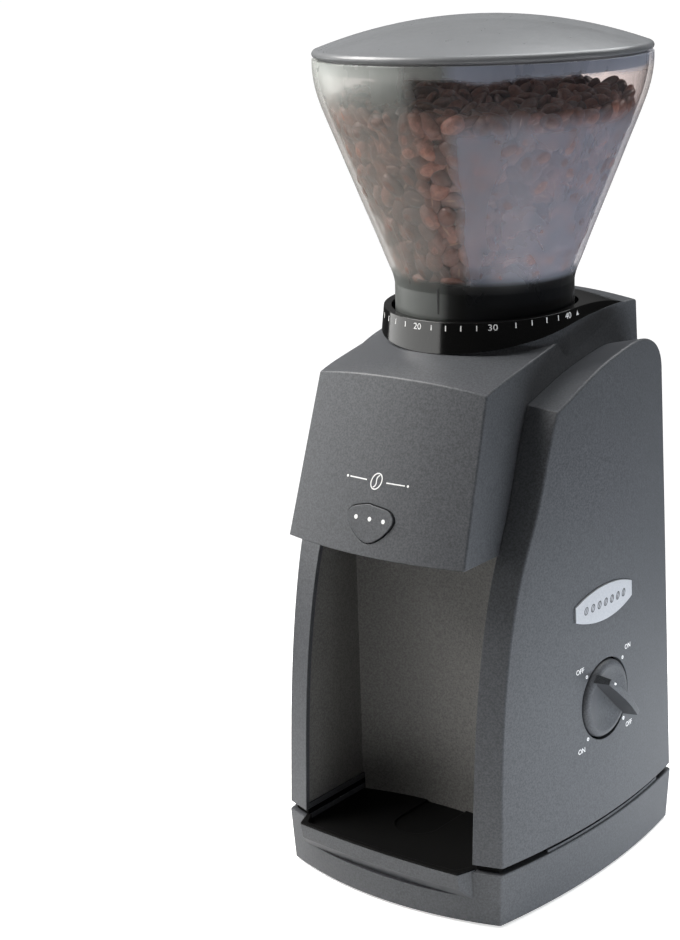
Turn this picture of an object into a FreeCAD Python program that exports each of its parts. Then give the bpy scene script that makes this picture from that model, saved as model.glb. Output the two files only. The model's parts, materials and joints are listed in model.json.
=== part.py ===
import FreeCAD, Part
import math
import os

# Burr coffee grinder, in millimetres. +Z is up and the front faces -Y.
# The model is drawn with X = 0 on the machine's mirror plane, and every piece is moved by FRAME_SHIFT
# as it is written, so that the origin is at the centre of the bottom of the whole machine's box.

# ---------------------------------------------------------------- driving dimensions
WALL = 2.4
GAP = 0.2

# bowed faces: vertical cylinders, some of them leaning
FRONT_R = 154.0
FRONT_CENTRE_Y = 75.4
SIDE_R = 326.0
SIDE_CENTRE_X = -263.6
SIDE_CENTRE_Y = 5.0
SIDE_LEAN = 0.0256
REAR_R = 230.0
REAR_LEAN = 0.0266
REAR_MID_Y = 63.2

# base
FOOT_R = 7.0
BASE_BOTTOM = 1.2
BASE_TOP = 23.6
BASE_REAR_MID_Y = 65.2
BASE_TAPER = 1.3
BODY_BOTTOM = 26.7

# bay for the filter holder or the grounds bin
BAY_HALF = 43.0
BAY_CEILING = 149.7
BAY_BACK_R = 132.0
BAY_BACK_CENTRE_Y = -157.0
MAT_TOP = 21.8

# upper housing
NOSE_R = 162.0
NOSE_SLOPE = 0.326
NOSE_MID_Y = -81.2
SIDE_DRAFT = 0.0383
REAR_JOINT_Z = 203.6

# axis of the burrs, the collar and the hopper
AXIS_Y = 2.8
COLLAR_TOP = 236.5
COLLAR_R = 41.0
COLLAR_FLARE = 0.107
COLLAR_BORE = 38.0
TAIL_HALF = 39.4

# hopper and lid
HOPPER_R = 67.1
HOPPER_NECK_R = 36.4
HOPPER_BOTTOM = 225.0
HOPPER_TOP = 334.6
LID_TOP = 350.0
LID_RIM_Z = 335.4

# burrs
CHAMBER_FLOOR = 176.8
BURR_BOTTOM = 187.5
RING_BURR_R = 24.1
THROAT_R = 16.5

# gear train
GEAR_MODULE = 1.0
FINE_MODULE = 0.8
MAIN_TEETH = 42
PINION_TEETH = 10
WHEEL_TEETH = 35
GEAR_BACKLASH = 0.3
SECOND_STAGE_ANGLE = 42.0
GEAR_FLOOR = 151.0
FINE_GEAR_Z = 154.6
MAIN_GEAR_Z = 163.0

# motor
MOTOR_R = 25.0
MOTOR_BOTTOM = 84.0

# rotary switch on the right panel
KNOB_Y = -2.2
KNOB_Z = 77.9
KNOB_FACE_X = 61.0
KNOB_R = 16.3
KNOB_RECESS_R = 17.2
KNOB_PROUD = 9.2
KNOB_BORE_TOP = KNOB_FACE_X - 2.3

# pulse button on the sloping front
BUTTON_Z = 162.2

# badge on the right panel
BADGE_Y = -2.2
BADGE_Z = 119.5
BADGE_LENGTH = 41.5
BADGE_HEIGHT = 14.4
BADGE_END = 6.3

V = FreeCAD.Vector
UP = V(0, 0, 1)
RIGHT = V(1, 0, 0)
BACK = V(0, 1, 0)
LIP_Y = NOSE_MID_Y
REAR_EDGE_Y = AXIS_Y + HOPPER_R
FRAME_SHIFT = V((HOPPER_R - KNOB_FACE_X - KNOB_PROUD) / 2, -(LIP_Y + REAR_EDGE_Y) / 2, 0)

# centre distances of the two gear stages, and the axes they give
SECOND_STAGE = GEAR_MODULE * (MAIN_TEETH + PINION_TEETH) / 2
FIRST_STAGE = FINE_MODULE * (WHEEL_TEETH + PINION_TEETH) / 2
IDLER_X = SECOND_STAGE * math.sin(math.radians(SECOND_STAGE_ANGLE))
IDLER_Y = AXIS_Y + SECOND_STAGE * math.cos(math.radians(SECOND_STAGE_ANGLE))
MOTOR_Y = IDLER_Y + math.sqrt(FIRST_STAGE ** 2 - IDLER_X ** 2)


# ---------------------------------------------------------------- shape helpers
def cylinder(x, y, z0, z1, radius):
    return Part.makeCylinder(radius, z1 - z0, V(x, y, z0))


def tube(x, y, z0, z1, outer, inner):
    return cylinder(x, y, z0, z1, outer).cut(cylinder(x, y, z0 - 1, z1 + 1, inner))


def box(x0, x1, y0, y1, z0, z1):
    return Part.makeBox(x1 - x0, y1 - y0, z1 - z0, V(x0, y0, z0))


def face_of(points):
    return Part.Face(Part.makePolygon(points + points[:1]))


def prism_x(points, x0, x1):
    return face_of([V(x0, y, z) for y, z in points]).extrude(V(x1 - x0, 0, 0))


def prism_y(points, y0, y1):
    return face_of([V(x, y0, z) for x, z in points]).extrude(V(0, y1 - y0, 0))


def prism_z(points, z0, z1):
    return face_of([V(x, y, z0) for x, y in points]).extrude(V(0, 0, z1 - z0))


def smooth(points):
    curve = Part.BSplineCurve()
    curve.interpolate(points)
    return curve.toShape()


def line(a, b):
    return Part.LineSegment(a, b).toShape()


def lathe(edges, x=0.0, y=AXIS_Y):
    """A solid of revolution about the vertical through (x, y), from edges in the plane of Y = y."""
    return Part.Face(Part.Wire(edges)).revolve(V(x, y, 0), UP, 360)


def lathe_polygon(profile, x=0.0, y=AXIS_Y):
    points = [V(x + r, y, z) for r, z in profile]
    return face_of(points).revolve(V(x, y, 0), UP, 360)


def turned(shape, degrees, x=0.0, y=AXIS_Y):
    copy = shape.copy()
    copy.rotate(V(x, y, 0), UP, degrees)
    return copy


def ring_of(shape, count, x=0.0, y=AXIS_Y):
    return [turned(shape, 360.0 * k / count, x, y) for k in range(count)]


def fused(shapes):
    first = shapes[0]
    if len(shapes) == 1:
        return first
    return first.fuse(shapes[1:]).removeSplitter()


def rounded(shape, radius, wanted):
    """The shape with the edges whose bounding box passes the test rounded off."""
    return shape.makeFillet(radius, [e for e in shape.Edges if wanted(e.BoundBox)])


def mirrored(shape):
    return shape.mirror(V(0, 0, 0), RIGHT)


def leaning_cylinder(radius, x, y, z, lean_x, lean_y):
    """A tall round solid whose axis passes (x, y, z) and leans by the given slopes."""
    direction = V(lean_x, lean_y, 1)
    start = V(x, y, z) - direction * 200
    return Part.makeCylinder(radius, 600, start, direction)


def write(name, shape):
    placed = shape.copy()
    placed.translate(FRAME_SHIFT)
    if len(placed.Solids) == 1:
        placed = placed.Solids[0]
    print(name, "solids", len(shape.Solids), "valid", shape.isValid(), "volume", round(shape.Volume))
    placed.exportStep(f"parts/{name}.step")


# ---------------------------------------------------------------- the base's bowed plan
def crossing(c1, r1, c2, r2, near):
    """Where two circles in plan cross, on the side of the point near."""
    d = math.hypot(c2[0] - c1[0], c2[1] - c1[1])
    along = (r1 ** 2 - r2 ** 2 + d ** 2) / (2 * d)
    off = math.sqrt(r1 ** 2 - along ** 2)
    ux, uy = (c2[0] - c1[0]) / d, (c2[1] - c1[1]) / d
    a = (c1[0] + along * ux - off * uy, c1[1] + along * uy + off * ux)
    b = (c1[0] + along * ux + off * uy, c1[1] + along * uy - off * ux)
    return min((a, b), key=lambda p: math.hypot(p[0] - near[0], p[1] - near[1]))


def plan_wire(z, inset):
    front_c, rear_c = (0, FRONT_CENTRE_Y), (0, BASE_REAR_MID_Y - REAR_R)
    side_c = (SIDE_CENTRE_X, SIDE_CENTRE_Y)
    front_r, side_r, rear_r = FRONT_R - inset, SIDE_R - inset, REAR_R - inset
    fx, fy = crossing(front_c, front_r, side_c, side_r, (54, -68))
    bx, by = crossing(rear_c, rear_r, side_c, side_r, (57, 57))
    side_x = SIDE_CENTRE_X + side_r
    front_y = FRONT_CENTRE_Y - front_r
    rear_y = BASE_REAR_MID_Y - inset
    corners = [V(fx, fy, z), V(bx, by, z), V(-bx, by, z), V(-fx, fy, z)]
    middles = [V(side_x, SIDE_CENTRE_Y, z), V(0, rear_y, z), V(-side_x, SIDE_CENTRE_Y, z), V(0, front_y, z)]
    edges = []
    for k in range(4):
        edges.append(Part.Arc(corners[k], middles[k], corners[(k + 1) % 4]).toShape())
    return Part.Wire(edges)


def plan_solid(z0, inset0, z1, inset1):
    return Part.makeLoft([plan_wire(z0, inset0), plan_wire(z1, inset1)], True, True)


def bay_plan(half, front_r, back_r, z0, z1):
    """The bay's plan: straight sides, a bowed front and a hollow curved back."""
    slab = box(-half, half, -90, 0, z0, z1)
    slab = slab.common(cylinder(0, FRONT_CENTRE_Y, z0 - 1, z1 + 1, front_r))
    return slab.common(cylinder(0, BAY_BACK_CENTRE_Y, z0 - 1, z1 + 1, back_r))


# ---------------------------------------------------------------- base
POCKET_FLOOR = 19.4
RECESS_HALF = 42.5
SCREW_SPOTS = [(-40, -52), (40, -52), (-42, 44), (42, 44)]
FOOT_SPOTS = [(-46, -60), (46, -60), (-48, 50), (48, 50)]

# The lip in front of the bay at three heights: its half width, and where its corners and its middle are.
LIP_ROOT = (12.3, 42.4, -72.6, -76.0)
LIP_LOW = (17.4, 40.0, -77.6, -79.5)
LIP_TOP = (24.1, 40.0, -79.1, LIP_Y + 0.2)
LIP_END_HALF = 43.0
LIP_END_Y = -70.9
LIP_WALL = 1.3


def lip_plan(section, inset=0.0, back_y=-62.0):
    """The lip's plan: a bowed front between two slanting ends, and straight sides to the back."""
    z, half, corner_y, middle_y = section
    half, end = half - 1.2 * inset, LIP_END_HALF - inset
    left, right = V(-half, corner_y + inset, z), V(half, corner_y + inset, z)
    path = [right, V(end, LIP_END_Y, z), V(end, back_y, z), V(-end, back_y, z), V(-end, LIP_END_Y, z), left]
    front = Part.Arc(left, V(0, middle_y + inset, z), right).toShape()
    return Part.Wire([front] + [line(a, b) for a, b in zip(path, path[1:])])


def lip_slab(inset, z0, z1, back_y=-62.0):
    """The lip's top plan, drawn in by inset, as a flat slab."""
    _, half, corner_y, middle_y = LIP_TOP
    return Part.Face(lip_plan((z0, half, corner_y, middle_y), inset, back_y)).extrude(UP * (z1 - z0))


def lip():
    """The whole lip, hanging over a hollow that runs under it to the base's front."""
    block = Part.makeLoft([lip_plan(s) for s in (LIP_ROOT, LIP_LOW, LIP_TOP)], True, True)
    return block.cut(box(-38, 38, -70.3, -60, LIP_ROOT[0], POCKET_FLOOR - 2))


def base_tray():
    shell = plan_solid(BASE_BOTTOM, BASE_TAPER, BASE_TOP, 0)
    shell = rounded(shell, 1.2, lambda b: b.ZLength > 15)
    shell = rounded(shell, 0.5, lambda b: b.ZMin > BASE_TOP - 0.1)
    hollow = plan_solid(BASE_BOTTOM - 1, BASE_TAPER + WALL, BASE_TOP - WALL, WALL)
    root_z = LIP_ROOT[0]
    bridge = shell.common(box(-LIP_END_HALF, LIP_END_HALF, -90, -68.5, 9, root_z))
    tub = bay_plan(BAY_HALF + 2.2, FRONT_R - 1, BAY_BACK_R + WALL + 2.2, POCKET_FLOOR - 2, BASE_TOP - 1)
    posts = [cylinder(x, y, 3.4, BASE_TOP - 1, 4.0) for x, y in SCREW_SPOTS]
    tray = fused([shell.cut(hollow), tub] + posts)
    tray = tray.cut(box(-LIP_ROOT[1], LIP_ROOT[1], -95, -71.8, root_z, 40))
    tray = fused([tray, bridge, lip()])
    # the pocket for the mat: behind the lip's wall in front, and as wide as the bay behind
    tray = tray.cut(lip_slab(LIP_WALL, POCKET_FLOOR, 40, LIP_END_Y + 0.5))
    tray = tray.cut(bay_room(0, POCKET_FLOOR, 40))
    tray = tray.cut(box(-34, 34, -14, 46, 15, 40))
    for x, y in SCREW_SPOTS:
        tray = tray.cut(cylinder(x, y, 0, 16, 1.3))
    # low ribs along both sides carry the body
    rib = cylinder(SIDE_CENTRE_X, SIDE_CENTRE_Y, BASE_TOP - 0.5, BASE_TOP + 1.1, SIDE_R - 1.2)
    rib = rib.cut(cylinder(SIDE_CENTRE_X, SIDE_CENTRE_Y, BASE_TOP - 1, BASE_TOP + 2, SIDE_R - 2.3))
    rib = rib.common(box(40, 70, -41, 44, BASE_TOP - 1, BASE_TOP + 2))
    return fused([tray, rib, mirrored(rib)])


def bay_room(gap, z0, z1):
    """The bay's plan behind the lip, drawn in by gap at the sides and the back."""
    room = box(-BAY_HALF + gap, BAY_HALF - gap, LIP_END_Y + gap, 0, z0, z1)
    return room.common(cylinder(0, BAY_BACK_CENTRE_Y, z0 - 1, z1 + 1, BAY_BACK_R + WALL + 0.2 - gap))


def bottom_plate():
    plate = plan_solid(BASE_BOTTOM + 0.1, BASE_TAPER + WALL + 0.3, 3.2, BASE_TAPER + WALL + 0.3)
    for x, y in SCREW_SPOTS:
        plate = plate.cut(cylinder(x, y, 0, 5, 1.8))
    for x, y in FOOT_SPOTS:
        plate = plate.cut(cylinder(x, y, 0, 5, 2.6))
    for k in range(9):
        y = -24 + 6 * k
        plate = plate.cut(box(-22, 22, y, y + 2.4, 0, 5))
    return plate


def rubber_feet():
    feet = []
    for x, y in FOOT_SPOTS:
        pad = cylinder(x, y, 0, BASE_BOTTOM, FOOT_R)
        pad = pad.makeFillet(0.5, [e for e in pad.Edges if e.BoundBox.ZMax < 0.01])
        stem = cylinder(x, y, BASE_BOTTOM, 4.4, 2.5)
        feet.append(pad.fuse(stem).removeSplitter())
    return Part.makeCompound(feet)


def screw(x, y, z, length, radius, head_r, head_h):
    """A pan-head screw pointing up, its head's underside at z."""
    head = cylinder(x, y, z - head_h, z, head_r)
    slot = box(x - head_r, x + head_r, y - 0.4, y + 0.4, z - head_h - 1, z - head_h + 0.7)
    cross = turned(slot, 90, x, y)
    return head.cut(slot).cut(cross).fuse(cylinder(x, y, z, z + length, radius)).removeSplitter()


def base_screws():
    return Part.makeCompound([screw(x, y, BASE_BOTTOM + 1.2, 12, 1.25, 1.7, 1.0) for x, y in SCREW_SPOTS])


def bay_floor_mat():
    """A rubber tray: a sunk floor, and a raised rim that lies on the lip right up to its front edge."""
    floor = lip_slab(LIP_WALL + 0.1, POCKET_FLOOR, MAT_TOP, LIP_END_Y + 1)
    floor = floor.fuse(box(-BAY_HALF + 0.4, BAY_HALF - 0.4, LIP_END_Y + 0.4, 0, POCKET_FLOOR, MAT_TOP))
    floor = floor.common(cylinder(0, BAY_BACK_CENTRE_Y, 0, 60, BAY_BACK_R - 0.3))
    inside = lip_slab(LIP_WALL + 0.9, 0, 60, LIP_END_Y + 5)
    wall = lip_slab(LIP_WALL + 0.1, MAT_TOP - 0.2, LIP_TOP[0] + 0.4, LIP_END_Y + 0.3).cut(inside)
    rim = lip_slab(0.15, LIP_TOP[0], LIP_TOP[0] + 0.8, LIP_END_Y + 0.3).cut(inside)
    mat = fused([floor, wall, rim])
    # a shallow tongue-shaped track guides the bin home
    track = box(-13, 7, -46, -20, MAT_TOP - 0.9, 40).fuse(cylinder(-3, -46, MAT_TOP - 0.9, 40, 10))
    return mat.cut(track)


def lower_frame():
    plate = plan_solid(BASE_TOP + GAP, 2.6, BODY_BOTTOM - GAP, 2.6)
    front = bay_plan(BAY_HALF + 0.2, FRONT_R + 9, BAY_BACK_R + WALL + 0.3, 20, 30)
    plate = plate.cut(front).cut(cylinder(0, 18, 20, 30, 16))
    rib = box(40, 70, -42, 45, BASE_TOP, BASE_TOP + 1.3)
    rib = rib.cut(cylinder(SIDE_CENTRE_X, SIDE_CENTRE_Y, 20, 30, SIDE_R - 2.6))
    return plate.cut(rib).cut(mirrored(rib))


# ---------------------------------------------------------------- side panels
# Outline of a panel's edge in (y, z) at the inner plane and at the outer plane, joined by straight rulings.
PANEL_INNER_X = 42.0
PANEL_OUTER_X = 56.0
FRONT_INNER = [(-72.1, 26.7), (-68.8, 79.4), (-62.4, 119.7), (-54.2, 146), (-44.3, 167), (-35.9, 188.5)]
FRONT_INNER += [(-28.8, 204)]
FRONT_OUTER = [(-67.4, 26.7), (-64.8, 79.4), (-59.2, 119.7), (-52, 146), (-43.2, 167), (-36.3, 188.5)]
FRONT_OUTER += [(-30.4, 203.6)]
TOP_INNER = [(-28.8, 204), (-14.5, 208.5), (0, 212.6), (17, 215.9), (35, 217.2), (46.5, 213), (51.4, 203.4)]
TOP_OUTER = [(-30.4, 203.6), (-15.7, 210), (-0.5, 215.6), (16.5, 219.3), (36, 220.3), (48.3, 214.8)]
TOP_OUTER += [(52.4, 203.8)]
REAR_FOOT_INNER = (58.6, 26.7)
REAR_FOOT_OUTER = (56.8, 26.7)


def panel_wire(x, shrink):
    """The panel's outline in the plane of the given x, moved inwards by shrink."""
    t = (x - PANEL_INNER_X) / (PANEL_OUTER_X - PANEL_INNER_X)

    def at(a, b):
        return V(x, a[0] + t * (b[0] - a[0]), a[1] + t * (b[1] - a[1]))

    front = [at(a, b) for a, b in zip(FRONT_INNER, FRONT_OUTER)]
    top = [at(a, b) for a, b in zip(TOP_INNER, TOP_OUTER)]
    foot = at(REAR_FOOT_INNER, REAR_FOOT_OUTER)
    if shrink:
        front = shifted(front, shrink)
        top = shifted(top, shrink)
        meet_y = front[-1].y + (top[0].y - front[-1].y) * 0.5 + 0.4 * shrink
        meet_z = 0.5 * (front[-1].z + top[0].z) - 0.3 * shrink
        corner = V(x, meet_y, meet_z)
        front[-1] = corner
        top[0] = corner
        front[0] = V(x, front[0].y, front[0].z + shrink)
        top[-1] = V(x, top[-1].y - 0.4 * shrink, top[-1].z)
        foot = V(x, foot.y - shrink, foot.z + shrink)
    edges = [smooth(front), smooth(top), line(top[-1], foot), line(foot, front[0])]
    return Part.Wire(edges)


def shifted(points, distance):
    """The points moved to the right of their own path, seen from +X with Y to the right."""
    moved = []
    for k, p in enumerate(points):
        a = points[max(k - 1, 0)]
        b = points[min(k + 1, len(points) - 1)]
        along = (b - a).normalize()
        moved.append(V(p.x, p.y + distance * along.z, p.z - distance * along.y))
    return moved


def side_skin(inset):
    return leaning_cylinder(SIDE_R - inset, SIDE_CENTRE_X, SIDE_CENTRE_Y, 27, -SIDE_LEAN, 0)


def panel_block(shrink, inset):
    loft = Part.makeLoft([panel_wire(36, shrink), panel_wire(66, shrink)], True, True)
    return loft.common(side_skin(inset))


def middle_block(gap, lower_half):
    """Room for the bay liner below and the upper housing above, between the two panels."""
    top = 260.0
    half_top = BAY_HALF - SIDE_DRAFT * (top - BAY_CEILING) + gap
    mid = BAY_HALF + gap
    points = [(-lower_half, 0), (lower_half, 0), (lower_half, BAY_CEILING), (mid, BAY_CEILING)]
    points += [(half_top, top)]
    points += [(-half_top, top), (-mid, BAY_CEILING), (-lower_half, BAY_CEILING)]
    return prism_y(points, -120, 120)


def side_panel():
    panel = panel_block(0, 0).cut(middle_block(GAP, RECESS_HALF))
    panel = rounded(panel, 1.0, lambda b: b.XMin > 50 and b.DiagonalLength > 20 and b.ZMax > 30)
    hollow = panel_block(WALL, WALL)
    return panel.cut(hollow)


def right_side_panel():
    panel = side_panel()
    opening = Part.makeCylinder(KNOB_RECESS_R, 20, V(50, KNOB_Y, KNOB_Z), RIGHT)
    return panel.cut(opening)


def left_side_panel():
    return mirrored(side_panel())


def badge_plate():
    half, high, end = BADGE_LENGTH / 2, BADGE_HEIGHT / 2, BADGE_END / 2
    y0, y1 = BADGE_Y - half, BADGE_Y + half
    top = Part.Arc(V(50, y0, BADGE_Z + end), V(50, BADGE_Y, BADGE_Z + high), V(50, y1, BADGE_Z + end))
    low = Part.Arc(V(50, y1, BADGE_Z - end), V(50, BADGE_Y, BADGE_Z - high), V(50, y0, BADGE_Z - end))
    right = line(V(50, y1, BADGE_Z + end), V(50, y1, BADGE_Z - end))
    left = line(V(50, y0, BADGE_Z - end), V(50, y0, BADGE_Z + end))
    outline = Part.Face(Part.Wire([top.toShape(), right, low.toShape(), left]))
    prism = outline.extrude(V(20, 0, 0))
    return prism.common(side_skin(-0.75)).cut(side_skin(-0.02))


# ---------------------------------------------------------------- bay liner and upper housing
def bay_liner():
    back = cylinder(0, BAY_BACK_CENTRE_Y, POCKET_FLOOR + 0.1, BAY_CEILING - GAP, BAY_BACK_R + WALL)
    back = back.cut(cylinder(0, BAY_BACK_CENTRE_Y, 0, 200, BAY_BACK_R))
    lower = back.common(box(-RECESS_HALF + 0.3, RECESS_HALF - 0.3, -60, 0, 0, 29.5))
    upper = back.common(box(-BAY_HALF - 1.8, BAY_HALF + 1.8, -60, 0, 29.3, 200))
    side = box(BAY_HALF, BAY_HALF + 1.8, -90, -31.5, 29.3, BAY_CEILING - GAP)
    side = side.common(panel_block(WALL + GAP, WALL + GAP))
    return fused([lower, upper, side, mirrored(side)])


# Height of the grey top along the middle, and of the line where the black collar starts.
CROWN_LINE = [(-90, 206.8), (-59.5, 216.4), (-39.7, 222.3), (-15, 227.4), (2, 230.5), (20, 232)]
CROWN_LINE += [(40, 232.6), (66, 231.5)]
# Height of the top's side edges.
EDGE_LINE = [(-90, 202.2), (-59.5, 211.3), (-39.7, 217.1), (-15, 222.2), (2, 225.9), (20, 229.3)]
EDGE_LINE += [(40, 231.6), (66, 226)]
EDGE_X = 40.7


def crowned_section(y, edge_z, mid_z, floor_z, edge_x, wide):
    sag = max(mid_z - edge_z, 0.05)
    radius = (edge_x ** 2 + sag ** 2) / (2 * sag)
    side_z = mid_z - radius + math.sqrt(radius ** 2 - wide ** 2)
    left, right = V(-wide, y, side_z), V(wide, y, side_z)
    arc = Part.Arc(left, V(0, y, mid_z), right).toShape()
    low_right, low_left = V(wide, y, floor_z), V(-wide, y, floor_z)
    return Part.Wire([arc, line(right, low_right), line(low_right, low_left), line(low_left, left)])


def under_crown(drop):
    """Everything below the grey top surface, lowered by drop."""
    sections = []
    for (y, mid_z), (_, edge_z) in zip(CROWN_LINE, EDGE_LINE):
        sections.append(crowned_section(y, edge_z - drop, mid_z - drop, 120, EDGE_X, 47))
    return Part.makeLoft(sections, True, False)


def housing_block(inset):
    half_low = BAY_HALF - inset + SIDE_DRAFT * (BAY_CEILING - 120)
    half_high = BAY_HALF - inset - SIDE_DRAFT * (240 - BAY_CEILING)
    block = prism_y([(-half_low, 120), (half_low, 120), (half_high, 240), (-half_high, 240)], -88, 64)
    axis_y = NOSE_MID_Y + NOSE_R * math.sqrt(1 + NOSE_SLOPE ** 2)
    block = block.common(leaning_cylinder(NOSE_R - inset, 0, axis_y, BAY_CEILING, 0, NOSE_SLOPE))
    rear_y = REAR_MID_Y + 1.0 - REAR_R
    block = block.common(leaning_cylinder(REAR_R - inset, 0, rear_y, 27, 0, -REAR_LEAN))
    return block.common(under_crown(inset))


def collar_wire(z, radius, rear_half):
    """The collar's outline: round in front, with two tails that run straight back."""
    rear_y = 56.0
    left, right = V(-radius, AXIS_Y, z), V(radius, AXIS_Y, z)
    arc = Part.Arc(left, V(0, AXIS_Y - radius, z), right).toShape()
    rear_right, rear_left = V(rear_half, rear_y - 3.4, z), V(-rear_half, rear_y - 3.4, z)
    bow = Part.Arc(rear_right, V(0, rear_y, z), rear_left).toShape()
    return Part.Wire([arc, line(right, rear_right), bow, line(rear_left, left)])


def collar_block():
    wires = []
    for z in (240.0, 210.0):
        flare = (COLLAR_TOP - z) * COLLAR_FLARE
        wires.append(collar_wire(z, COLLAR_R + flare, TAIL_HALF + flare))
    return Part.makeLoft(wires, True, True)


def neck_block():
    """The grey fairing under the collar, which narrows downwards into the housing's sides."""
    low = collar_wire(205, COLLAR_R - 1.6, TAIL_HALF - 1.8)
    high = collar_wire(235, COLLAR_R + 0.8, TAIL_HALF + 0.6)
    return Part.makeLoft([low, high], True, True)


def under_collar_line():
    """Everything below the line where the black collar starts."""
    points = [V(-60, y, z) for y, z in CROWN_LINE[1:]]
    curve = smooth(points)
    first, last = points[0], points[-1]
    low_last, low_first = V(-60, last.y, 190), V(-60, first.y, 190)
    wire = Part.Wire([curve, line(last, low_last), line(low_last, low_first), line(low_first, first)])
    return Part.Face(wire).extrude(V(120, 0, 0))


def under_tail():
    """Everything below the collar's own top: level over the ring, falling and crowned towards the back."""
    sections = []
    stations = [(-60, 236.45, 236.5), (10, 236.45, 236.5), (26, 235.7, 236.4), (40, 233.4, 235.7)]
    stations += [(52, 229.8, 234.4), (66, 223.5, 231.5)]
    for y, edge_z, mid_z in stations:
        sections.append(crowned_section(y, edge_z, mid_z, 190, EDGE_X, 47))
    return Part.makeLoft(sections, True, False)


def button_frame(x, up, out):
    """A point given across, up and out of the sloping front face at the button."""
    length = math.sqrt(1 + NOSE_SLOPE ** 2)
    face_y = NOSE_MID_Y + (BUTTON_Z - BAY_CEILING) * NOSE_SLOPE
    y = face_y + (up * NOSE_SLOPE - out) / length
    z = BUTTON_Z + (up + out * NOSE_SLOPE) / length
    return V(x, y, z)


BUTTON_OUTLINE = [(0, 7.0), (5.6, 6.3), (9.4, 4.9), (10.9, 2.6), (9.7, -0.9), (6.4, -4.7)]
BUTTON_OUTLINE += [(2.6, -7.2), (0, -7.8)]


def button_solid(scale, out0, out1):
    half = [(x * scale, up * scale) for x, up in BUTTON_OUTLINE]
    points = half + [(-x, up) for x, up in reversed(half[1:-1])]
    curve = Part.BSplineCurve()
    curve.interpolate([button_frame(x, up, out0) for x, up in points], PeriodicFlag=True)
    face = Part.Face(Part.Wire([curve.toShape()]))
    return face.extrude(button_frame(0, 0, out1) - button_frame(0, 0, out0))


def is_front_edge(b):
    """Whether a bounding box is that of an edge of the sloping face, or of the top's front or sides."""
    side_of_face = b.ZLength > 60 and b.YMax < -50
    front_of_top = b.ZMin > 205 and b.YMax < -50
    side_of_top = b.ZMin > 205 and b.YLength > 90
    return side_of_face or front_of_top or side_of_top


CHUTE_HALF = 12.5
CHUTE_MOUTH = (-51.0, -35.0)


def upper_housing():
    shell = housing_block(0)
    shell = rounded(shell, 0.9, is_front_edge)
    hollow = housing_block(WALL).common(box(-60, 60, -100, 80, BAY_CEILING + WALL, 260))
    behind = box(-60, 60, -40, 80, 100, BAY_CEILING + WALL + 0.1)
    behind = behind.cut(cylinder(0, BAY_BACK_CENTRE_Y, 90, 200, BAY_BACK_R + 1.6))
    shell = shell.cut(box(-60, 60, -100, 80, 100, BAY_CEILING)).cut(hollow).cut(behind)
    shell = shell.cut(box(-60, 60, 48, 80, 100, REAR_JOINT_Z))
    neck = neck_block().common(under_collar_line()).common(box(-60, 60, -60, 54.5, 205, 250))
    neck = neck.common(under_tail()).cut(box(-36, 36, 43.5, 52, 200, 227))
    shell = fused([shell, neck])
    shell = shell.cut(cylinder(0, AXIS_Y, 190, 260, COLLAR_BORE))
    mouth = box(-CHUTE_HALF - 0.4, CHUTE_HALF + 0.4, CHUTE_MOUTH[0] - 0.4, CHUTE_MOUTH[1] + 0.4, 140, 156)
    shell = shell.cut(mouth)
    return shell.cut(button_solid(1.06, -6, 6))


def scale_collar():
    collar = collar_block().common(under_tail()).cut(under_collar_line()).cut(under_crown(0))
    collar = collar.cut(cylinder(0, AXIS_Y, 190, 260, COLLAR_BORE))
    return collar.cut(box(-60, 60, 54.2, 80, 190, 260))


REAR_SCREWS = [(-34, 36), (34, 36), (-34, 194), (34, 194)]


def rear_cover():
    axis_y = REAR_MID_Y - REAR_R
    shell = leaning_cylinder(REAR_R, 0, axis_y, 27, 0, -REAR_LEAN)
    shell = shell.cut(leaning_cylinder(REAR_R - WALL, 0, axis_y, 27, 0, -REAR_LEAN))
    cover = shell.common(box(-60, 60, 30, 80, BODY_BOTTOM, REAR_JOINT_Z - GAP))
    cover = cover.common(middle_block(-0.1, RECESS_HALF - GAP))
    for k in range(9):
        z = 128 + 5.5 * k
        cover = cover.cut(box(-26, 26, 40, 80, z, z + 2.4))
    cover = cover.cut(Part.makeCylinder(7.1, 40, V(0, 40, 46), BACK))
    for x, z in REAR_SCREWS:
        cover = cover.cut(Part.makeCylinder(1.9, 60, V(x, 30, z), BACK))
    return cover


def rear_face_y(x, z):
    return REAR_MID_Y - REAR_R + math.sqrt(REAR_R ** 2 - x ** 2) - REAR_LEAN * (z - 27)


def rear_cover_screws():
    screws = []
    for x, z in REAR_SCREWS:
        y = rear_face_y(x, z)
        head = Part.makeCylinder(3.2, 1.6, V(x, y + 0.65, z), BACK)
        slot = box(x - 4, x + 4, y + 1.5, y + 4, z - 0.4, z + 0.4)
        cross = box(x - 0.4, x + 0.4, y + 1.5, y + 4, z - 4, z + 4)
        shank = Part.makeCylinder(1.6, 11, V(x, y - 10.8, z), BACK)
        screws.append(head.cut(slot).cut(cross).fuse(shank).removeSplitter())
    return Part.makeCompound(screws)


def cord_gland():
    y = rear_face_y(0, 46)
    flange = Part.makeCylinder(9.2, 2.0, V(0, y + 0.4, 46), BACK)
    body = Part.makeCylinder(6.9, 8.0, V(0, y - 5.5, 46), BACK)
    collar = Part.makeCylinder(8.4, 1.6, V(0, y - 4.6, 46), BACK)
    gland = fused([flange, body, collar])
    return gland.cut(Part.makeCylinder(3.4, 40, V(0, y - 20, 46), BACK))


# ---------------------------------------------------------------- frame, motor and gears
COLUMN_SPOTS = [(-25, -17), (25, -17), (-35, 48.5), (35, 48.5)]
MOUNT_SPOTS = [(-30, -12), (30, -12), (-33, 40), (33, 40)]
FRAME_PLATE_Z = 141.0


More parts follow.
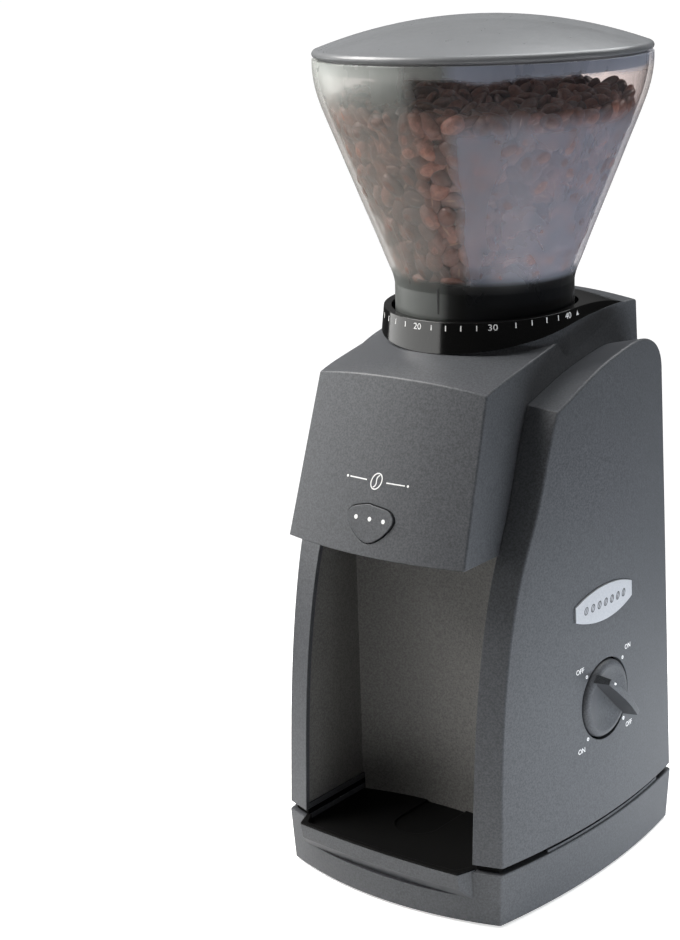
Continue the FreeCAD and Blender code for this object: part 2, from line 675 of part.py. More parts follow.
def inner_frame():
    plate = box(-39, 39, -21, 51, FRAME_PLATE_Z, FRAME_PLATE_Z + 3)
    columns = [cylinder(x, y, BODY_BOTTOM, FRAME_PLATE_Z + 1, 4.2) for x, y in COLUMN_SPOTS]
    frame = fused([plate] + columns)
    frame = frame.cut(cylinder(0, MOTOR_Y, 100, 160, MOTOR_R + 1.2))
    for x, y in MOUNT_SPOTS:
        frame = frame.cut(cylinder(x, y, 130, 150, 2.2))
    for x, z in REAR_SCREWS[:2]:
        frame = frame.cut(Part.makeCylinder(1.8, 40, V(x, 30, z), BACK))
    return frame


def vibration_mounts():
    mounts = []
    for x, y in MOUNT_SPOTS:
        body = tube(x, y, FRAME_PLATE_Z + 3, GEAR_FLOOR, 5.4, 1.9)
        groove = tube(x, y, FRAME_PLATE_Z + 5, GEAR_FLOOR - 2, 6, 4.3)
        mounts.append(body.cut(groove))
    return Part.makeCompound(mounts)


def gear_lobes(grow):
    lobes = [
        cylinder(0, AXIS_Y, 0, 1, 23.2 + grow),
        cylinder(IDLER_X, IDLER_Y, 0, 1, 15.6 + grow),
        cylinder(0, MOTOR_Y, 0, 1, 6.6 + grow),
        prism_z([(-12, AXIS_Y), (IDLER_X, AXIS_Y), (IDLER_X, IDLER_Y + 6), (-5, MOTOR_Y)], 0, 1),
    ]
    return fused(lobes)


def gear_case(grow, z0, z1):
    plan = gear_lobes(grow)
    floor = [f for f in plan.Faces if f.BoundBox.ZMax < 0.01]
    solid = fused([f.extrude(V(0, 0, z1 - z0)) for f in floor])
    solid.translate(V(0, 0, z0))
    return solid


def gearbox_housing():
    flange = box(-38, 38, -19, 47, GEAR_FLOOR, GEAR_FLOOR + 2.2)
    walls = gear_case(2.2, GEAR_FLOOR + 1, 173.6).cut(gear_case(0, GEAR_FLOOR + 2.2, 175))
    boss = cylinder(0, AXIS_Y, GEAR_FLOOR, 161.4, 9.0)
    case = fused([flange, walls, boss])
    case = case.cut(cylinder(0, AXIS_Y, GEAR_FLOOR + 1.2, 190, 7.05))
    case = case.cut(cylinder(0, MOTOR_Y, 140, 156, 4.6))
    case = case.cut(cylinder(IDLER_X, IDLER_Y, GEAR_FLOOR + 0.8, 156, 1.98))
    for x, y in MOUNT_SPOTS:
        case = case.cut(cylinder(x, y, 140, 160, 1.9))
    return case


def gearbox_cover():
    cover = gear_case(2.2, 173.8, 176.6)
    cover = cover.cut(cylinder(0, AXIS_Y, 170, 180, 8.05))
    return cover.cut(cylinder(IDLER_X, IDLER_Y, 170, 175.2, 1.98))


def gearbox_screws():
    screws = []
    for x, y in MOUNT_SPOTS:
        shank = cylinder(x, y, 138.4, 155.2, 1.6)
        low_head = cylinder(x, y, 138.4, FRAME_PLATE_Z - 0.05, 2.8)
        nut = cylinder(x, y, GEAR_FLOOR + 2.3, 155.6, 3.0)
        screws.append(fused([shank, low_head, nut]))
    return Part.makeCompound(screws)


def involute_gear(module, teeth, z0, z1, addendum, phase):
    """A spur gear about the origin; phase is the angle of one tooth's middle, in degrees."""
    pitch_r = module * teeth / 2
    pressure = math.radians(20)
    base_r = pitch_r * math.cos(pressure)
    root_r = pitch_r - 1.25 * module
    tip_r = pitch_r + addendum * module
    half_pitch = math.pi / (2 * teeth) - GEAR_BACKLASH / (4 * pitch_r)
    involute_at_pitch = math.tan(pressure) - pressure

    def half_angle(radius):
        if radius <= base_r:
            return half_pitch + involute_at_pitch
        angle = math.acos(base_r / radius)
        return half_pitch + involute_at_pitch - (math.tan(angle) - angle)

    low_r = max(root_r, base_r)
    radii = [low_r + (tip_r - low_r) * k / 4 for k in range(5)]
    if root_r < base_r:
        radii = [root_r] + radii
    points = []
    for tooth in range(teeth):
        middle = math.radians(phase) + 2 * math.pi * tooth / teeth
        rising = [(r, middle - half_angle(r)) for r in radii]
        falling = [(r, middle + half_angle(r)) for r in reversed(radii)]
        for r, angle in rising + falling:
            points.append((r * math.cos(angle), r * math.sin(angle)))
    return prism_z(points, z0, z1)


# angle of the line from the burr axis to the idler, and from the idler to the motor
TO_IDLER = 90.0 - SECOND_STAGE_ANGLE
TO_MOTOR = math.degrees(math.atan2(MOTOR_Y - IDLER_Y, -IDLER_X))
WHEEL_ADDENDUM = 0.58


def main_gear():
    gear = involute_gear(GEAR_MODULE, MAIN_TEETH, MAIN_GEAR_Z, MAIN_GEAR_Z + 8, WHEEL_ADDENDUM, TO_IDLER)
    gear = gear.cut(cylinder(0, 0, MAIN_GEAR_Z + 3, 180, 17.6).cut(cylinder(0, 0, 150, 190, 8)))
    hole = cylinder(13, 0, 150, 190, 3.2)
    for k in range(6):
        gear = gear.cut(turned(hole, 60 * k, 0, 0))
    gear.translate(V(0, AXIS_Y, 0))
    return gear.cut(cylinder(0, AXIS_Y, 150, 190, 4.0))


def intermediate_gear():
    wheel = involute_gear(FINE_MODULE, WHEEL_TEETH, FINE_GEAR_Z, FINE_GEAR_Z + 6, WHEEL_ADDENDUM, TO_MOTOR)
    phase = TO_IDLER + 180 + 180.0 / PINION_TEETH
    pinion = involute_gear(GEAR_MODULE, PINION_TEETH, FINE_GEAR_Z + 5.5, MAIN_GEAR_Z + 8.6, 1.0, phase)
    gear = fused([wheel, pinion])
    gear.translate(V(IDLER_X, IDLER_Y, 0))
    return gear.cut(cylinder(IDLER_X, IDLER_Y, 150, 190, 2.0))


def intermediate_axle():
    return cylinder(IDLER_X, IDLER_Y, GEAR_FLOOR + 1.0, 175.0, 1.95)


def motor_pinion():
    phase = TO_MOTOR + 180 + 180.0 / PINION_TEETH
    pinion = involute_gear(FINE_MODULE, PINION_TEETH, FINE_GEAR_Z - 0.4, FINE_GEAR_Z + 6.4, 1.0, phase)
    pinion.translate(V(0, MOTOR_Y, 0))
    return pinion.cut(cylinder(0, MOTOR_Y, 150, 170, 2.0))


def motor_shaft():
    thick = cylinder(0, MOTOR_Y, 81.6, 151.5, 2.5)
    return thick.fuse(cylinder(0, MOTOR_Y, 151.5, FINE_GEAR_Z + 6.6, 2.0)).removeSplitter()


def motor_can():
    can = tube(0, MOTOR_Y, MOTOR_BOTTOM, GEAR_FLOOR - 0.2, MOTOR_R, MOTOR_R - 1.6)
    lid = tube(0, MOTOR_Y, GEAR_FLOOR - 1.8, GEAR_FLOOR - 0.2, MOTOR_R - 0.5, 2.56)
    can = fused([can, lid])
    for k in range(4):
        slot = box(8, 19, MOTOR_Y - 2, MOTOR_Y + 2, GEAR_FLOOR - 3, GEAR_FLOOR + 1)
        can = can.cut(turned(slot, 45 + 90 * k, 0, MOTOR_Y))
    return can


def motor_magnets():
    ring = tube(0, MOTOR_Y, 96, 142, MOTOR_R - 1.7, 17.6)
    split = box(-6, 6, MOTOR_Y - 40, MOTOR_Y + 40, 90, 150)
    return ring.cut(split)


def motor_armature():
    core = cylinder(0, MOTOR_Y, 100, 138, 16.8)
    for k in range(10):
        slot = box(9, 20, MOTOR_Y - 1.2, MOTOR_Y + 1.2, 99, 139)
        core = core.cut(turned(slot, 36 * k, 0, MOTOR_Y))
    return core.cut(cylinder(0, MOTOR_Y, 90, 150, 2.5))


def motor_windings():
    low = lathe_polygon([(2.6, 94.5), (14.5, 95.5), (15.6, 99.9), (2.6, 99.9)], 0, MOTOR_Y)
    high = lathe_polygon([(2.6, 138.1), (15.6, 138.1), (14.5, 143), (2.6, 143.6)], 0, MOTOR_Y)
    return Part.makeCompound([low, high])


def commutator():
    body = tube(0, MOTOR_Y, 87, 94.4, 5.0, 2.5)
    for k in range(10):
        slot = box(4, 6, MOTOR_Y - 0.25, MOTOR_Y + 0.25, 86, 93)
        body = body.cut(turned(slot, 36 * k, 0, MOTOR_Y))
    return body


def motor_end_cap():
    cap = cylinder(0, MOTOR_Y, MOTOR_BOTTOM - 4, MOTOR_BOTTOM - 0.1, MOTOR_R - 0.6)
    boss = cylinder(0, MOTOR_Y, MOTOR_BOTTOM - 8, MOTOR_BOTTOM - 3, 7)
    cap = fused([cap, boss])
    cap = cap.cut(cylinder(0, MOTOR_Y, MOTOR_BOTTOM - 2.6, MOTOR_BOTTOM + 1, 2.56))
    return cap


def motor_brushes():
    brush = box(5.3, 15, MOTOR_Y - 2.2, MOTOR_Y + 2.2, MOTOR_BOTTOM + 3.4, MOTOR_BOTTOM + 8.4)
    return Part.makeCompound([brush, turned(brush, 180, 0, MOTOR_Y)])


# ---------------------------------------------------------------- burr shaft, burrs and chamber
def burr_shaft():
    return cylinder(0, AXIS_Y, GEAR_FLOOR + 2.0, BURR_BOTTOM + 19.5, 4.0)


def shaft_bushes():
    low = tube(0, AXIS_Y, GEAR_FLOOR + 1.3, 161.4, 7.0, 4.05)
    high = tube(0, AXIS_Y, 172.4, CHAMBER_FLOOR + 2.4, 8.0, 4.05)
    return Part.makeCompound([low, high])


def shaft_seal():
    return tube(0, AXIS_Y, CHAMBER_FLOOR + 2.5, CHAMBER_FLOOR + 3.5, 8.0, 4.3)


def paddle_wheel():
    hub = cylinder(0, AXIS_Y, 181.0, BURR_BOTTOM, 9.5)
    disc = cylinder(0, AXIS_Y, BURR_BOTTOM - 1.6, BURR_BOTTOM, 17.0)
    blade = box(8.5, 24.6, AXIS_Y - 1.1, AXIS_Y + 1.1, 180.6, BURR_BOTTOM - 1.2)
    wheel = fused([hub, disc] + ring_of(blade, 6))
    return wheel.cut(cylinder(0, AXIS_Y, 170, 200, 4.0))


def cone_burr():
    profile = [(4.0, BURR_BOTTOM), (20.0, BURR_BOTTOM), (20.0, 190.0), (17.2, 197.0), (9.6, 206.0)]
    profile += [(7.6, 207.0), (4.0, 207.0)]
    body = lathe_polygon(profile)
    # slanted flutes: a coarse set that feeds and a fine set that grinds
    coarse = prism_z([(6.0, AXIS_Y - 2.6), (26, AXIS_Y - 1.2), (26, AXIS_Y + 2.2)], 186, 212)
    coarse.rotate(V(14, AXIS_Y, 198), RIGHT, 24)
    coarse.rotate(V(14, AXIS_Y, 198), BACK, -38)
    coarse.translate(V(3.6, 0, 0))
    for flute in ring_of(coarse, 8):
        body = body.cut(flute)
    fine = prism_z([(18.9, AXIS_Y), (22, AXIS_Y - 1.3), (22, AXIS_Y + 1.3)], 184, 194)
    fine.rotate(V(20, AXIS_Y, 189), RIGHT, 18)
    for flute in ring_of(fine, 32):
        body = body.cut(flute)
    return body


def burr_retaining_screw():
    head = cylinder(0, AXIS_Y, 207.05, 210.4, 5.6)
    head = head.makeChamfer(0.8, [e for e in head.Edges if e.BoundBox.ZMin > 210.3])
    turns = [math.radians(60 * k) for k in range(6)]
    hexagon = [(2.3 * math.cos(turn), AXIS_Y + 2.3 * math.sin(turn)) for turn in turns]
    return head.cut(prism_z(hexagon, 208.2, 212))


def ring_burr():
    profile = [(20.9, 190.5), (RING_BURR_R, 190.5), (RING_BURR_R, 204.0), (21.9, 204.0), (19.7, 198.5)]
    body = lathe_polygon(profile + [(19.5, 194.5)])
    notch = prism_z([(17, AXIS_Y - 0.2), (21.6, AXIS_Y - 1.1), (21.6, AXIS_Y + 0.5)], 187, 208)
    notch.rotate(V(20, AXIS_Y, 197), RIGHT, -16)
    for groove in ring_of(notch, 30):
        body = body.cut(groove)
    return body


HOLDER_R = 27.4


def ring_burr_holder():
    body = lathe_polygon([
        (RING_BURR_R + 0.05, 191.5), (HOLDER_R, 191.5), (HOLDER_R, 205.0), (22.2, 205.0), (22.2, 204.1),
        (RING_BURR_R + 0.05, 204.1),
    ])
    tab = box(26.6, 33.0, AXIS_Y - 4, AXIS_Y + 4, 198.5, 203.0)
    return fused([body, tab, turned(tab, 180)])


def holder_gasket():
    return lathe_polygon([(23.0, 205.05), (27.3, 205.05), (27.3, 205.7), (25.0, 206.1), (23.0, 205.7)])


def burr_chamber():
    profile = [(8.05, CHAMBER_FLOOR), (30.4, CHAMBER_FLOOR), (30.4, 203.4), (37.6, 203.4), (37.6, 206.4)]
    profile += [(27.8, 206.4), (27.8, 190.2), (26.0, 190.2), (26.0, CHAMBER_FLOOR + 2.4)]
    profile += [(8.05, CHAMBER_FLOOR + 2.4)]
    body = lathe_polygon(profile)
    window = box(-10.6, 10.6, AXIS_Y - 40, AXIS_Y - 15, 180.2, 189.8)
    slot = box(20, 33.6, AXIS_Y - 4.3, AXIS_Y + 4.3, 197.0, 210)
    body = body.cut(window).cut(slot).cut(turned(slot, 180))
    return body


def grounds_chute():
    outer = [(-18, 178.2), (-18, 191.6), (-33, 191.6), (-44, 186), (-51, 172), (-51, 150.6), (-35, 150.6)]
    outer += [(-35, 160), (-25.6, 176.4), (-22, 178.2)]
    inner = [(-17, 180.0), (-17, 189.8), (-32.6, 189.8), (-42.6, 184.7), (-49.2, 171.6), (-49.2, 149)]
    inner += [(-36.8, 149), (-36.8, 160.6), (-25.8, 179.4)]
    duct = prism_x(outer, -CHUTE_HALF, CHUTE_HALF).cut(prism_x(inner, -CHUTE_HALF + 1.8, CHUTE_HALF - 1.8))
    return duct.cut(cylinder(0, AXIS_Y, 150, 210, 30.6))


def adjusting_ring():
    profile = [(28.4, 207.0), (37.6, 207.0), (37.6, 224.4), (35.0, 224.4), (35.0, 209.6), (30.0, 209.6)]
    profile += [(28.4, 211.0), (26.6, 211.0), (26.6, 209.0)]
    body = lathe_polygon(profile)
    notch = box(30, 40, AXIS_Y - 4.0, AXIS_Y + 4.0, 218.5, 230)
    body = body.cut(notch).cut(turned(notch, 180))
    ribs = ring_of(cylinder(34.6, AXIS_Y, 209, 216, 0.9), 24)
    return fused([body] + ribs)


# ---------------------------------------------------------------- hopper and lid
FUNNEL_R = 34.1


def whole_hopper():
    """The turned body: a bowed cone over a neck, with a funnel and a throat inside it."""
    y = AXIS_Y
    outer = [(HOPPER_NECK_R, 245), (37.3, 249), (38.9, 253), (42.0, 261), (49.6, 280), (57.7, 300.4)]
    outer += [(62.4, 312.2), (65.6, 321.5), (66.9, 328.5), (HOPPER_R, HOPPER_TOP)]
    inner = [(65.1, HOPPER_TOP), (64.9, 328.7), (63.6, 322.2), (60.5, 313), (55.8, 301.2), (47.7, 280.8)]
    inner += [(40.1, 261.8), (36.6, 253.0), (33.0, 245.0), (26.0, 238.6), (18.2, 233.4), (THROAT_R, 230.0)]
    under = [(18.4, 229.4), (26.6, 234.6), (32.4, 239.6), (34.2, 242.0)]
    low = HOPPER_BOTTOM
    edges = [
        smooth([V(r, y, z) for r, z in outer]),
        line(V(HOPPER_R, y, HOPPER_TOP), V(65.1, y, HOPPER_TOP)),
        smooth([V(r, y, z) for r, z in inner]),
        line(V(THROAT_R, y, 230.0), V(THROAT_R, y, 214.4)),
        line(V(THROAT_R, y, 214.4), V(18.4, y, 214.4)),
        line(V(18.4, y, 214.4), V(18.4, y, 229.4)),
        smooth([V(r, y, z) for r, z in under]),
        line(V(34.2, y, 242.0), V(34.2, y, low)),
        line(V(34.2, y, low), V(HOPPER_NECK_R, y, low)),
        line(V(HOPPER_NECK_R, y, low), V(HOPPER_NECK_R, y, 245)),
    ]
    return lathe(edges)


def hopper():
    body = whole_hopper().cut(cylinder(0, AXIS_Y, 200, 300, FUNNEL_R))
    tab = tube(0, AXIS_Y, 219.2, HOPPER_BOTTOM + 0.5, HOPPER_NECK_R, 34.4)
    tab = tab.common(box(30, 40, AXIS_Y - 3.6, AXIS_Y + 3.6, 215, 230))
    return fused([body, tab, turned(tab, 180)])


def hopper_funnel():
    return whole_hopper().common(cylinder(0, AXIS_Y, 200, 300, FUNNEL_R))


def finger_guard():
    ring = tube(0, AXIS_Y, 214.6, 219.0, THROAT_R - 0.05, 14.6)
    bar = box(-15.2, 15.2, AXIS_Y - 1.1, AXIS_Y + 1.1, 214.6, 218.0)
    return fused([ring, bar, turned(bar, 90)])


def hopper_lid():
    y = AXIS_Y
    dome_r, dome_z = 65.6, 338.4
    sag = LID_TOP - dome_z
    outer_r = (dome_r ** 2 + sag ** 2) / (2 * sag)
    inner_r = outer_r - 2.2
    centre = V(0, y, LID_TOP - outer_r)
    cap = Part.makeSphere(outer_r, centre, RIGHT).common(cylinder(0, y, 335.9, 360, dome_r))
    cap = cap.cut(Part.makeSphere(inner_r, centre, RIGHT))
    rim = [(dome_r, dome_z), (66.7, 337.7), (HOPPER_R, 336.8), (66.7, 335.7), (65.8, LID_RIM_Z)]
    path = [(65.8, LID_RIM_Z), (64.7, LID_RIM_Z), (64.5, 329.8), (62.7, 329.8), (62.7, 338.2)]
    path += [(dome_r, dome_z)]
    edges = [smooth([V(r, y, z) for r, z in rim])]
    for a, b in zip(path, path[1:]):
        edges.append(line(V(a[0], y, a[1]), V(b[0], y, b[1])))
    return fused([cap, lathe(edges)])


# ---------------------------------------------------------------- switch, button and electrics
# The grip across the knob: place along it, half width at the foot and at the ridge, height over the panel,
# and how far it lies to one side of the knob's centre.
GRIP = [
    (16.0, 2.2, 0.95, 8.0, 2.5),
    (8.0, 1.5, 1.25, 8.9, 2.7),
    (0.0, 1.3, 1.45, KNOB_PROUD, 2.6),
    (-8.0, 1.5, 1.4, 8.8, 2.1),
    (-15.2, 2.2, 1.25, 7.8, 1.6),
]


def knob_disc(radius, x0, x1):
    return Part.makeCylinder(radius, x1 - x0, V(x0, KNOB_Y, KNOB_Z), RIGHT)


def knob_section(radius, proud):
    """A point of the knob's turned profile."""
    return V(KNOB_FACE_X + proud, KNOB_Y, KNOB_Z + radius)


def switch_knob():
    # a disc with a rounded rim and a shallow dish, and a boss behind it
    rim, dish_r = KNOB_R - 2.5, 43.8
    side, crest = knob_section(KNOB_R, -1.1), knob_section(rim, 1.4)
    round_edge = Part.Arc(side, knob_section(rim + 1.768, 0.668), crest)
    path = [(rim, 1.4), (0, 1.4), (0, -6.3), (5.5, -6.3), (5.5, -5), (KNOB_R, -5), (KNOB_R, -1.1)]
    edges = [round_edge.toShape()]
    for a, b in zip(path, path[1:]):
        edges.append(line(knob_section(*a), knob_section(*b)))
    disc = Part.Face(Part.Wire(edges)).revolve(V(0, KNOB_Y, KNOB_Z), RIGHT, 360)
    disc = disc.cut(Part.makeSphere(dish_r, knob_section(0, dish_r - 0.7), RIGHT))
    foot_x = KNOB_FACE_X - 1.8
    sections = []
    for along, foot, ridge, height, aside in GRIP:
        x, y = KNOB_FACE_X + height, KNOB_Y + along
        corners = [V(foot_x, y, KNOB_Z + aside - foot), V(x, y, KNOB_Z + aside - ridge)]
        corners += [V(x, y, KNOB_Z + aside + ridge), V(foot_x, y, KNOB_Z + aside + foot)]
        sections.append(Part.makePolygon(corners + corners[:1]))
    grip = Part.makeLoft(sections, True, False)
    grip = grip.common(knob_disc(KNOB_R - 0.6, foot_x - 1, KNOB_FACE_X + 20))
    grip.rotate(V(0, KNOB_Y, KNOB_Z), RIGHT, -45)
    return fused([disc, grip]).cut(knob_disc(3.0, KNOB_FACE_X - 8, KNOB_BORE_TOP))


def switch_shaft():
    return knob_disc(2.98, 49.5, KNOB_BORE_TOP)


def rotary_switch():
    case = box(34, 52.0, KNOB_Y - 13, KNOB_Y + 13, KNOB_Z - 13, KNOB_Z + 13)
    plate = knob_disc(19, 52.0, 54.2)
    case = fused([case, plate])
    case = case.cut(knob_disc(3.05, 48.5, 60))
    return case


def switch_terminals():
    pins = []
    for dy in (-8, 0, 8):
        for dz in (-7, 7):
            y, z = KNOB_Y + dy, KNOB_Z + dz
            pins.append(box(27.5, 33.9, y - 1.6, y + 1.6, z - 0.4, z + 0.4))
    return Part.makeCompound(pins)


def button_peg(radius, out0, out1):
    start = button_frame(0, 0, out0)
    return Part.makeCylinder(radius, out1 - out0, start, button_frame(0, 0, 1) - button_frame(0, 0, 0))


def pulse_button():
    cap = button_solid(1.0, -3.4, 0.5)
    flange = button_solid(1.15, -4.8, -3.2).common(box(-20, 20, -90, -60, 153.2, 180))
    stem = button_peg(2.2, -9.0, -4.5)
    return fused([cap, flange, stem])


def button_slab(x, out0, out1, up=3.6):
    """A flat block square to the sloping face, centred on the button."""
    corners = [button_frame(-x, -up, out0), button_frame(x, -up, out0)]
    corners += [button_frame(x, up, out0), button_frame(-x, up, out0)]
    return face_of(corners).extrude(button_frame(0, 0, out1) - button_frame(0, 0, out0))


def button_bracket():
    arm = button_slab(1.5, -17.3, -4.4)
    left, right = arm.copy(), arm.copy()
    left.translate(V(-14.5, 0, 0))
    right.translate(V(14.5, 0, 0))
    return fused([button_slab(16, -19.2, -17.2), left, right])


def pulse_microswitch():
    return button_slab(6.4, -17.1, -10.8, 3.2)


def circuit_board():
    board = box(-39.6, -38.0, -10, 40, 44, 118)
    for y, z in ((-6, 48), (36, 48), (-6, 114), (36, 114)):
        board = board.cut(Part.makeCylinder(1.6, 6, V(-42, y, z), RIGHT))
    return board


def board_parts():
    reach = -37.9
    parts = [
        box(reach, reach + 8, -4, 12, 52, 66),
        box(reach, reach + 3, 16, 34, 54, 62),
        Part.makeCylinder(5, 10, V(reach, 24, 78), RIGHT),
        Part.makeCylinder(3.2, 8, V(reach, 2, 84), RIGHT),
        box(reach, reach + 6, -6, 30, 96, 104),
    ]
    return Part.makeCompound(parts)


# ---------------------------------------------------------------- the pieces
PIECES = [
    base_tray, bottom_plate, rubber_feet, base_screws, bay_floor_mat, lower_frame,
    left_side_panel, right_side_panel, badge_plate, bay_liner, upper_housing, scale_collar,
    rear_cover, rear_cover_screws, cord_gland,
    inner_frame, vibration_mounts, gearbox_housing, gearbox_cover, gearbox_screws,
    main_gear, intermediate_gear, intermediate_axle, motor_pinion, motor_shaft, motor_can,
    motor_magnets, motor_armature, motor_windings, commutator, motor_end_cap, motor_brushes,
    burr_shaft, shaft_bushes, shaft_seal, paddle_wheel, cone_burr, burr_retaining_screw,
    ring_burr, ring_burr_holder, holder_gasket, burr_chamber, grounds_chute, adjusting_ring,
    hopper, hopper_funnel, finger_guard, hopper_lid,
    switch_knob, switch_shaft, rotary_switch, switch_terminals,
    pulse_button, button_bracket, pulse_microswitch, circuit_board, board_parts,
]

os.makedirs("parts", exist_ok=True)
for piece in PIECES:
    write(piece.__name__, piece())
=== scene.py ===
"""The looks of a burr coffee grinder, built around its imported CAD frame. Lengths are in metres."""
import json
import math
import random

import bpy
import numpy as np
from mathutils import Matrix, Vector
from mathutils.bvhtree import BVHTree
from mathutils.kdtree import KDTree


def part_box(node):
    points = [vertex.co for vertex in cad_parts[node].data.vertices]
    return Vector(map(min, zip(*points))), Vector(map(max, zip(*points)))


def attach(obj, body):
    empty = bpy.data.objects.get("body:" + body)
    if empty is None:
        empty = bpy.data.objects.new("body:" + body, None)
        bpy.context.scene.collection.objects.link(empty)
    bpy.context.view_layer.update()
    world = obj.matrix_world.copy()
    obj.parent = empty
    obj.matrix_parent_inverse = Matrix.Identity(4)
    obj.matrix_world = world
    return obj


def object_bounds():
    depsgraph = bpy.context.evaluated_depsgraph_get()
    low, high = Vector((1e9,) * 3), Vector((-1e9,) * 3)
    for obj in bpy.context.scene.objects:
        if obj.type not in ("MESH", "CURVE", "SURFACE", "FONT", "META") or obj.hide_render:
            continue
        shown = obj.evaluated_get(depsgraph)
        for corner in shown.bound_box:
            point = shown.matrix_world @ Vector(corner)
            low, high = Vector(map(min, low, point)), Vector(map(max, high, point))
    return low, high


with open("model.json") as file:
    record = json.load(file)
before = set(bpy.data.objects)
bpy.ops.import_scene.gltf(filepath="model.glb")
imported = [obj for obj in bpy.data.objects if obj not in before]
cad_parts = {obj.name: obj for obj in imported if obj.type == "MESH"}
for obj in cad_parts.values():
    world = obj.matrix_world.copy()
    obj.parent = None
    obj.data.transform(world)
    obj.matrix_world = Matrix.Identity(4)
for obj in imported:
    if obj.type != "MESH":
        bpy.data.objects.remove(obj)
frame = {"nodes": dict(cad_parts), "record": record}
cad_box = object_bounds()
NODES = frame["nodes"]
MM = 0.001

# ---------------------------------------------------------------- driving values
PRINT_THICK = 0.04 * MM
PRINT_LIFT = 0.03 * MM
RAY_START = 0.3  # prints are cast from a plane this far out
RAY_ASIDE = 0.1 * MM  # how far beside a ray its neighbours are
SLIP = 1 * MM  # a ray that goes this much deeper than a neighbour has slipped through
NEIGHBOURS = ((0, 0), (1, 0), (-1, 0), (0, 1), (0, -1))
CAP_HEIGHT = 0.69  # height of a capital over the size of the built-in typeface

# the collar's scale, as angles from straight ahead (-Y) towards the right side (+X)
SETTING_STEP = 4.72  # degrees of turn between two settings
SETTING_20 = -5.2
SCALE_MARKS = range(0, 41, 2)
SCALE_RADIUS = 41.4 * MM
SCALE_BELOW_TOP = 4.0 * MM
SCALE_CLIMB = 1.8 * MM  # the row of marks climbs this much from setting 19 to setting 35
TICK_WIDTH, TICK_HEIGHT, NUMBER_HEIGHT = 0.45 * MM, 2.1 * MM, 2.4 * MM
POINTER_AT = 4.6

# the knob's prints, from the knob's middle
WORD_AHEAD, WORD_UP, WORD_HEIGHT = 17.8 * MM, 17.1 * MM, 2.1 * MM
MARK_AT, MARK_SIZE = 13.4 * MM, 1.1 * MM
DOT_AHEAD, DOT_ASIDE, DOT_RADIUS = 11.8 * MM, 2.8 * MM, 0.65 * MM  # along the knob's ridge, and beside it

BUTTON_DOT_STEP, BUTTON_DOT_UP, BUTTON_DOT_RADIUS = 6.6 * MM, 2.6 * MM, 0.85 * MM
ORNAMENT_UP = 16.6 * MM  # over the button's middle
ORNAMENT_LINE = 0.45 * MM
BADGE_BEANS, BADGE_STEP = 7, 4.6 * MM

BEAN_LENGTH, BEAN_WIDTH, BEAN_THICK = 11.2 * MM, 8.2 * MM, 5.8 * MM
FILL_BELOW_LID = 17.5 * MM
REFLECTION_GAP_AT = 17.0  # where the painted reflection on the hopper leaves a clear band, as an angle like the scale's
LEFT_PAINTED_REFLECTION, RIGHT_PAINTED_REFLECTION = 0.22, 0.29  # how much painted reflection covers on either side of that
RIM_PAINTED_REFLECTION, BARE_PAINTED_REFLECTION = 0.34, 0.012  # and the painted reflection at the rim, and faintly everywhere
NECK_HEIGHT = 30 * MM
WALL_SLOPE = 0.45  # how far the hopper's wall leans out, as a fall over a run

WORLD_LOW, WORLD_HIGH = 0.05, 0.38
FLOOR_NEAR, FLOOR_FAR = 0.12, 0.42  # the floor reflects less from the one distance to the other: a painted pool of light round the object
FLOOR_PALE, FLOOR_DIM = 0.88, 0.06
FLOOR_LIFT = 0.55  # how far the camera sees it lifted towards white

CAMERA_AZIMUTH, CAMERA_ELEVATION, CAMERA_ROLL = 39.1, 15.8, -1.9
CAMERA_DISTANCE = 0.857
CAMERA_LENS = 74.3
AIM_LEFT, AIM_AHEAD, AIM_HEIGHT = 76.56 * MM, 2.8 * MM, 153.3 * MM  # from the hopper's axis


def centre_of(node):
    """The middle of a CAD node's box."""
    low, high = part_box(node)
    return (low + high) / 2


AXIS = centre_of("hopper_lid")
AXIS.z = 0
KNOB = centre_of("switch_shaft")


